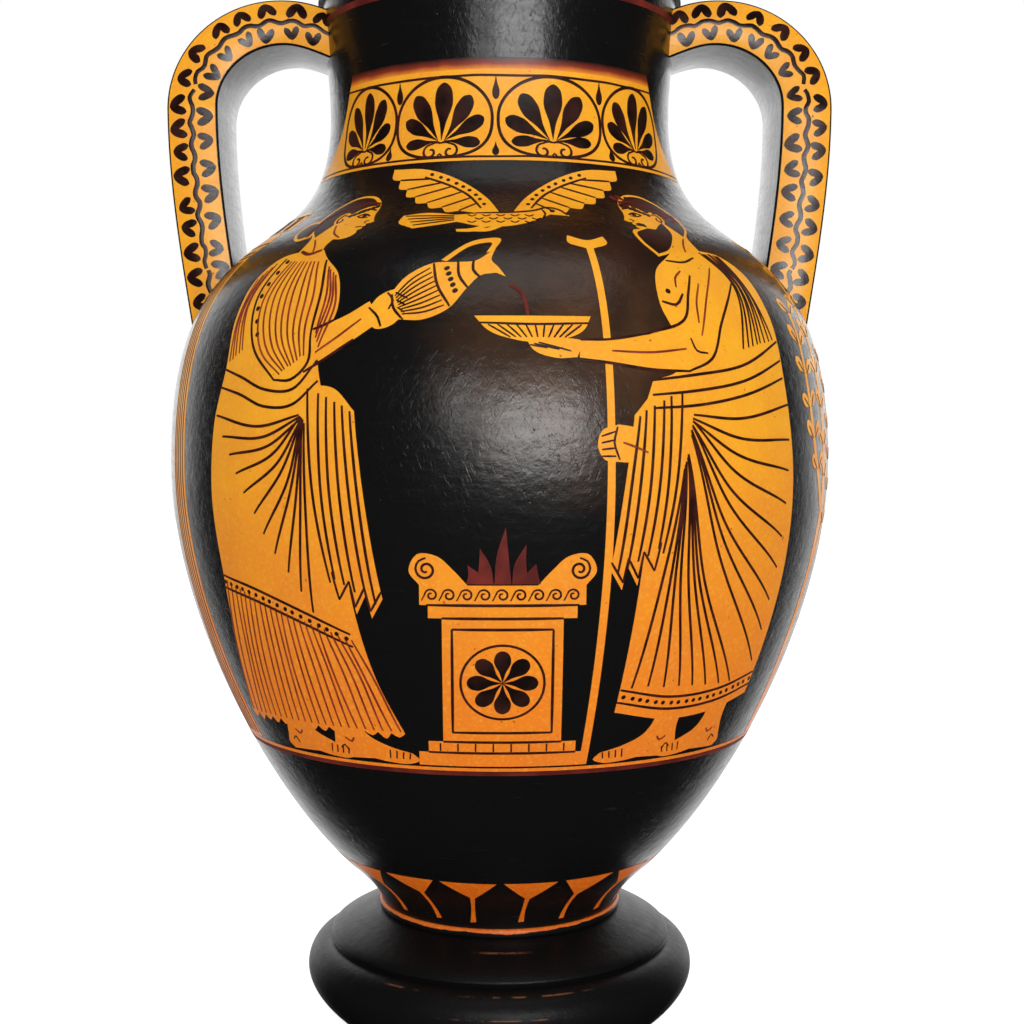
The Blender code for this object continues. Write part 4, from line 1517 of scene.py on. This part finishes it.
def jug(figure, x, y, turn, size):
    """A jug with a pinched lip and a high handle."""
    part = figure.part(x=x, y=y, turn=turn, size=size)
    part.clay([(-3.8, -12), (3.8, -12)], [(8.4, -5), (9, 2), (5.2, 8.6), (3.2, 12.6), (4.6, 16.4)],
              [(7.6, 18.4)], [(2.6, 17.4), (-1, 16.4), (-5.4, 18.2)],
              [(-3.2, 12.6), (-5.2, 8.6), (-9, 2), (-8.4, -5), (-3.8, -12)])
    part.clay([(-4.6, 17.6), (-9.4, 20.2), (-12.6, 14.4), (-9, 4.4)], [(-7.6, 5.6)],
              [(-10.6, 13.6), (-8.8, 17.8), (-5, 15.8)])
    for half, height in ((3.6, 12.2), (5.4, 8.4), (4.4, -10.4), (8.6, 2.4)):
        part.line((-half, height), (0, height - 0.9), (half, height), width=0.7)
    for index in range(9):
        spread = (index - 4) / 4
        part.line((3.4 * spread, -9.8), (6.4 * spread, -4), (7.4 * spread, 1.2), width=0.5)
    for index in range(5):
        part.dot(2.3 * (index - 2), 5.2, 0.7)


def man(degrees, mirror):
    """A standing bearded man in a mantle, one hand on a staff, holding out a shallow bowl."""
    figure = Figure(degrees, mirror, FIGURE_SIZE)
    foot(figure, -10)
    foot(figure, 9)
    figure.clay([(-5.4, 148), (-12, 147), (-19.5, 141), (-24, 128), (-25.5, 108), (-28.5, 84), (-29, 56),
                 (-27, 32), (-25, 17)], [(-8, 13.4), (8, 13), (25, 16.5)],
                [(26, 36), (26.5, 62), (25.5, 86), (27.5, 99), (24.5, 107)],
                [(16.5, 110), (15.5, 118), (18, 128), (15.5, 138), (7, 145.5), (4, 148.5)], [(-5.4, 148)])
    head(figure, 150.5, -0.04, bearded=True, wreath=True)

    # bare chest
    figure.line((-1, 144.6), (4, 142.4), (10, 142.6), width=0.7)
    figure.line((9.6, 131.4), (13, 128), (17.2, 128.8))
    figure.dot(14.2, 132, 0.75)
    figure.wash((7, 139), (10, 136.4), (11, 133.4))

    # mantle: over the far shoulder and back, rolled at the waist, folds down to a woven hem
    figure.folds([(-12.5, 146.5), (-18, 134), (-22.4, 119.5)], [(-5, 147), (-11.4, 137), (-8, 116)],
                 8, sway=0.3)
    for drop in (0, 4.2, 8):
        figure.line((-24.6, 119 - 1.3 * drop), (-6, 111.5 - drop), (12, 108.6 - drop), (25, 107 - 0.9 * drop))
    figure.folds([(13, 98), (-2, 97), (-26.6, 101)], [(14, 93), (3, 62), (-23, 28)], 9, sway=0.4)
    figure.folds([(14.6, 88), (7, 56), (-14, 22)], [(16, 84), (19.6, 56), (22, 24)], 8, sway=0.4)
    figure.border([(-25.6, 20), (-8, 16.6), (8, 16.2), (25.2, 19.6)], 3.8, 19)
    zigzag(figure, 16, 104, 58)

    # far hand on the staff
    figure.clay([(24, 93), (31, 95), (35, 95.6)], [(39.6, 94), (40.8, 90), (39, 86.6), (34.6, 86)],
                [(30, 85.6), (24, 84)], [(24, 93)])
    for index in range(4):
        figure.line((36, 93.8 - 2.1 * index), (39.8, 92.6 - 1.7 * index), width=0.55)
    figure.line((35.4, 95), (36.4, 91), (35, 86.6), width=0.6)
    figure.wash((27, 88.4), (31, 90), (34, 91))

    # near arm stretched out with the bowl
    figure.clay([(-4, 146.5), (5, 137), (11, 124.5), (24, 119.4), (36, 117.6), (43, 117.4)], [(44, 112.4)],
                [(36, 111.4), (24, 109.8), (13, 109.6), (5, 113)], [(-1, 123), (-11, 136)], [(-4, 146.5)])
    figure.line((-11, 136), (-1, 123), (5, 113), (13, 109.6))
    figure.line((13, 109.6), (24, 109.8), (36, 111.4), (44, 112.4))
    figure.line((4.4, 137.6), (8, 131), (11, 124.5), (24, 119.4))
    figure.line((24, 119.4), (36, 117.6), (43, 117.4), width=0.65)
    figure.wash((-5, 141), (2, 130), (7, 119.4))
    figure.wash((13, 115.6), (24, 114.4), (35, 114.6))
    figure.wash((2.6, 135), (6, 128.6), (7, 123))
    figure.line((6, 114.6), (9.6, 115.2), (11, 118.6), width=0.6)
    bowl(figure, 54, 119.2)
    figure.part(x=-2, y=-11.2).clay([(44, 128.4), (48, 129), (54, 128.4), (59, 129)],
                                    [(58, 126.4), (52, 123.8), (46.6, 124)], [(44, 128.4)])
    for index in range(3):
        figure.line((46 + 3 * index, 114.4 + 0.4 * index), (54 + 1.2 * index, 116.6 - 0.3 * index), width=0.5)


def staff(degrees, mirror):
    """A long walking staff with a crutch head, on its own upright axis."""
    figure = Figure(degrees, mirror, FIGURE_SIZE)
    figure.clay([(-1.1, 0), (1.1, 0)], [(1.1, 60), (1, 110), (1, 146)], [(5.6, 148.6), (5, 151.4)],
                [(0, 149.4), (-5, 151.4)], [(-5.6, 148.6), (-1, 146)], [(-1, 110), (-1.1, 60), (-1.1, 0)])


def bowl(figure, x, y):
    """A shallow libation bowl seen from its side, with ribs below its rim."""
    part = figure.part(x=x, y=y)
    part.clay([(-15, 4.6), (15, 4.6)], [(12.6, 1), (6, -1.8), (-6, -1.8), (-12.6, 1), (-15, 4.6)])
    part.line((-14, 2.7), (0, 2.3), (14, 2.7), width=0.65)
    for index in range(11):
        spread = (index - 5) / 5
        part.line((12 * spread, 2.2), (7 * spread, -1.2), width=0.5)


def altar(degrees):
    """A low block altar with mouldings, a running wave, side volutes and a small flame."""
    figure = Figure(degrees, size=ALTAR_SIZE)
    for half, low, high in ((25, 0, 5), (22, 5, 9), (17.5, 9, 50), (21.5, 50, 54), (24, 54, 60)):
        figure.clay([(-half, low), (half, low)], [(half, high)], [(-half, high)])
    for height, half in ((5, 22), (9, 17.5), (50, 17.5), (54, 22)):
        figure.line((-half, height), (0, height), (half, height))
    for side in (-1, 1):
        figure.clay([(side * 10, 60), (side * 24, 60)],
                    [(side * 27, 64), (side * 24.5, 69), (side * 19, 68.6), (side * 14, 64.4),
                     (side * 10, 60)])
        figure.line(*spiral(side * 22, 64.6, 3.4, 0.6, math.pi / 2, -side * 3.2 * math.pi), width=0.7)
    for index in range(9):
        x = -20.5 + 5.1 * index
        figure.line(*spiral(x, 57, 2, 0.5, math.pi, -2.6 * math.pi, 10), width=0.55)
        figure.line((x - 2, 57), (x - 2.8, 55.4), width=0.5)
    for index in range(8):
        x = -18.4 + 5.26 * index
        figure.line((x, 8.4), (x, 5.6), width=0.6)
    for x in (-14.6, 14.6):
        figure.line((x, 12.4), (x, 46.6))
    for y in (12.4, 46.6):
        figure.line((-14.6, y), (14.6, y))
    rosette(figure, 29.5, 11)
    for x, height, lean in ((-5, 11, -1.5), (0, 17, 0.8), (5, 12, 1.6), (-8, 6, -2), (8.4, 6.4, 1)):
        figure.red([(x - 2.4, 60.4), (x - 1.8, 60 + 0.5 * height), (x + lean, 60 + height)],
                   [(x + 1.6, 60 + 0.5 * height), (x + 2.4, 60.4)], [(x - 2.4, 60.4)])


def rosette(figure, y, radius):
    """Eight petals in a ring."""
    part = figure.part(y=y)
    for index in range(8):
        part.black(moved(teardrop(radius - 2.6, 4), turn=math.tau * index / 8, size=1.24))
    ring = oval(0, 0, radius + 1.2, radius + 1.2, 30)
    part.line(*ring, ring[0], width=0.7, step=1.4, taper=0.0)


def column(degrees):
    """A fluted column with its capital and a stretch of beam."""
    figure = Figure(degrees)
    figure.clay([(-7.6, 0), (7.6, 0)], [(6.9, 80), (5.8, 156)], [(9.6, 162)], [(9.6, 167)], [(-9.6, 167)],
                [(-9.6, 162)], [(-5.8, 156)], [(-6.9, 80), (-7.6, 0)])
    figure.clay([(-12.5, 168.2), (12.5, 168.2)], [(12.5, 178)], [(-12.5, 178)])
    for index in range(-2, 3):
        figure.line((2.7 * index, 1), (2.45 * index, 80), (2.1 * index, 154), width=0.65)
    for height, half in ((156, 5.8), (158, 6.6), (162, 9.4)):
        figure.line((-half, height), (0, height - 0.3), (half, height), width=0.65)
    for x in (-8, 0, 8):
        for shift in (-1.5, 0, 1.5):
            figure.line((x + shift, 169), (x + shift, 176), width=0.6)
    figure.line((-12.2, 176.4), (12.2, 176.4), width=0.6)


# Each stem's line, its half width, the share of it that is bare, and its pairs of leaves
TREE_STEMS = [
    ([(0, 0), (-1.6, 40), (1.8, 84), (-0.6, 124), (1, 160)], 2.2, 0.52, 8),
    ([(0.6, 56), (9, 72), (14, 96), (12.6, 120)], 1.1, 0.22, 6),
    ([(0.2, 74), (-9, 90), (-13, 112), (-11.6, 134)], 1.1, 0.22, 6),
]


def tree(degrees):
    """A slender laurel with leaves in pairs along its branches."""
    figure = Figure(degrees)
    for stem, thickness, bare, pairs in TREE_STEMS:
        line = smooth(stem)
        right, left = [], []
        for index, spot in enumerate(line):
            half = thickness * (1.0 - 0.75 * index / len(line)) + 0.3
            right.append((spot.x + half, spot.y))
            left.append((spot.x - half, spot.y))
        figure.clay(right[::6] + [right[-1]], left[::-1][::6] + [left[0]])
        for index in range(pairs):
            spot = line[int((bare + (0.99 - bare) * index / (pairs - 1)) * (len(line) - 1))]
            for side in (-1, 1):
                turn = -side * hand.uniform(0.65, 1.0)
                leaf = figure.part(x=spot.x, y=spot.y, turn=turn)
                leaf.clay(teardrop(8.2 * hand.uniform(0.88, 1.08), 3.3, 0.5))
                leaf.line((0, 1.4), (0, 6.2), width=0.5)


def hanging_wreath(degrees, y, radius):
    """A leafy wreath that hangs between the two figures, with its two ribbons."""
    figure = Figure(degrees).part(y=y)
    ring = oval(0, 0, radius, radius, 36)
    figure.band(*ring, ring[0], width=1.1, taper=0.0)
    for index in range(18):
        turn = math.tau * index / 18
        along = turn if math.cos(turn) > -0.01 else turn - math.pi
        for lean in (-0.6, 0.6):
            leaf = teardrop(5.4, 2.3, 0.5)
            figure.clay(moved(leaf, radius * math.cos(turn), radius * math.sin(turn), along + lean))
    for side in (-1, 1):
        figure.band((0, -radius), (side * 2.4, -radius - 4), (side * 1.6, -radius - 8),
                    (side * 3, -radius - 11), width=1.0)


def cloaked(degrees, mirror):
    """A youth wrapped in a mantle, one hand held out towards a staff."""
    figure = Figure(degrees, mirror, FIGURE_SIZE)
    foot(figure, -9)
    foot(figure, 8)
    figure.clay([(-5.4, 148), (-12, 147), (-19, 141), (-23, 126), (-24, 104), (-26, 80), (-27, 50),
                 (-25, 17)], [(-8, 13.4), (8, 13), (24, 16.5)],
                [(24, 40), (24, 66), (25, 90), (28, 106), (24, 118)],
                [(20, 130), (15, 140), (7, 146), (4, 148.5)], [(-5.4, 148)])
    head(figure, 150.5, -0.04)
    figure.line((-9, 146), (0, 140), (9, 141), (15, 139))
    figure.folds([(-16, 142), (0, 133), (18, 131)], [(-22, 118), (2, 106), (24, 116)], 6, sway=0.4)
    figure.folds([(22, 106), (4, 96), (-22, 106)], [(22, 96), (8, 62), (-22, 28)], 8)
    figure.folds([(20, 90), (10, 56), (-13, 22)], [(22, 86), (22.6, 56), (21, 24)], 7)
    figure.border([(-25.6, 20), (-8, 16.6), (8, 16.2), (24.2, 19.6)], 3.8, 19)
    figure.clay([(24, 118), (31, 118), (34, 114)], [(31, 109), (25, 108)], [(24, 118)])
    figure.line((24.4, 117), (26, 112.6), (25, 108.6), width=0.6)


def wing(figure, x, y, side):
    """A raised wing with a row of long feathers under a dotted edge."""
    def put(*points):
        return [Vector((x + side * across, y + up)) for across, up in points]

    tips = [(33, 23), (30.5, 18.6), (28, 14.4), (25.2, 10.6), (21.4, 7.2), (16.8, 4.4), (11.8, 2.2)]
    runs = [put((0, 0), (4, 9), (11, 16.6), (21, 21.8), tips[0])]
    for first, second in zip(tips, tips[1:]):
        runs.append(put(((first[0] + second[0]) / 2 + 1.4, (first[1] + second[1]) / 2 - 1.6), second))
    figure.clay(*runs, put((5, 0.4), (0, 0)))
    inner = smooth(put((5.6, 3.4), (9, 10), (14.6, 15), (23, 19.4)), 0.5)
    figure.line(*inner[::8])
    for index, tip in enumerate(tips[1:]):
        root = inner[int((1.0 - (index + 0.6) / 6.4) * (len(inner) - 1))]
        figure.line(root, *put(tip), width=0.7)
    for spot in spots_along(inner, 9):
        figure.dot(spot.x - side * 1.3, spot.y + 1.3, 0.6)


def bird(degrees, y):
    """A bird in flight with both wings raised."""
    figure = Figure(degrees).part(y=y)
    wing(figure, 1, 2, -1)
    wing(figure, 4, 2, 1)
    figure.clay([(-11, 1.6), (-20, 3.4), (-27, 2.4)], [(-28.4, -1.4), (-24, -5)], [(-17, -3.6), (-11, -2)],
                [(-11, 1.6)])
    figure.clay([(-12, -1.8), (-4, -4.8), (5, -4.2), (11, -1.2), (15, 2.2)], [(20.6, 1.6)],
                [(17.6, 5.2), (14, 6.2), (10.6, 4.4), (4, 3), (-4, 2.4), (-12, 1.8)], [(-12, -1.8)])
    figure.line((20, 2), (17.4, 5), (14, 6), (10.6, 4.2), (6, 3.2), (-6, 2.6))
    figure.line((12.6, 4.8), (13.6, 2.4), (12.8, -0.4), width=0.6)
    figure.dot(15.6, 4, 0.75)
    for index in range(4):
        figure.line((-12, 1.2 - 0.8 * index), (-26.4 + 0.8 * index, 2 - 1.8 * index), width=0.6)
    for row in range(3):
        for step in range(5):
            x, low = -7 + 4 * step + 2 * (row % 2), -2.8 + 1.8 * row
            figure.line((x - 1.2, low + 0.9), (x, low), (x + 1.2, low + 0.9), width=0.5)
    for x in (-3, 1):
        figure.clay([(x, -3.6), (x - 4, -5.8), (x - 8.4, -6.2)], [(x - 8.2, -7.4)],
                    [(x - 3.4, -7.4), (x + 1.6, -4)], [(x, -3.6)])


def front_scene():
    altar(0.5)
    staff(16.2, -1)
    woman(-37, 1)
    man(37, -1)
    column(-66)
    tree(68)
    bird(-0.5, 166.5)
    stream = Figure(0.5)
    stream.band((2, 138), (4.6, 136), (6.2, 132), (6.6, 129), width=1.0)


def back_scene():
    staff(180 - 16.6, 1)
    staff(180 + 16.6, 1)
    cloaked(180 - 34, 1)
    cloaked(180 + 34, -1)
    hanging_wreath(180, 140, 9)


front_scene()
back_scene()
for layer in (figure_clay, figure_black, relief_lines, dilute_lines, red_details):
    layer.build()


# The view transform

view = bpy.context.scene.view_settings
view.view_transform = "Standard"
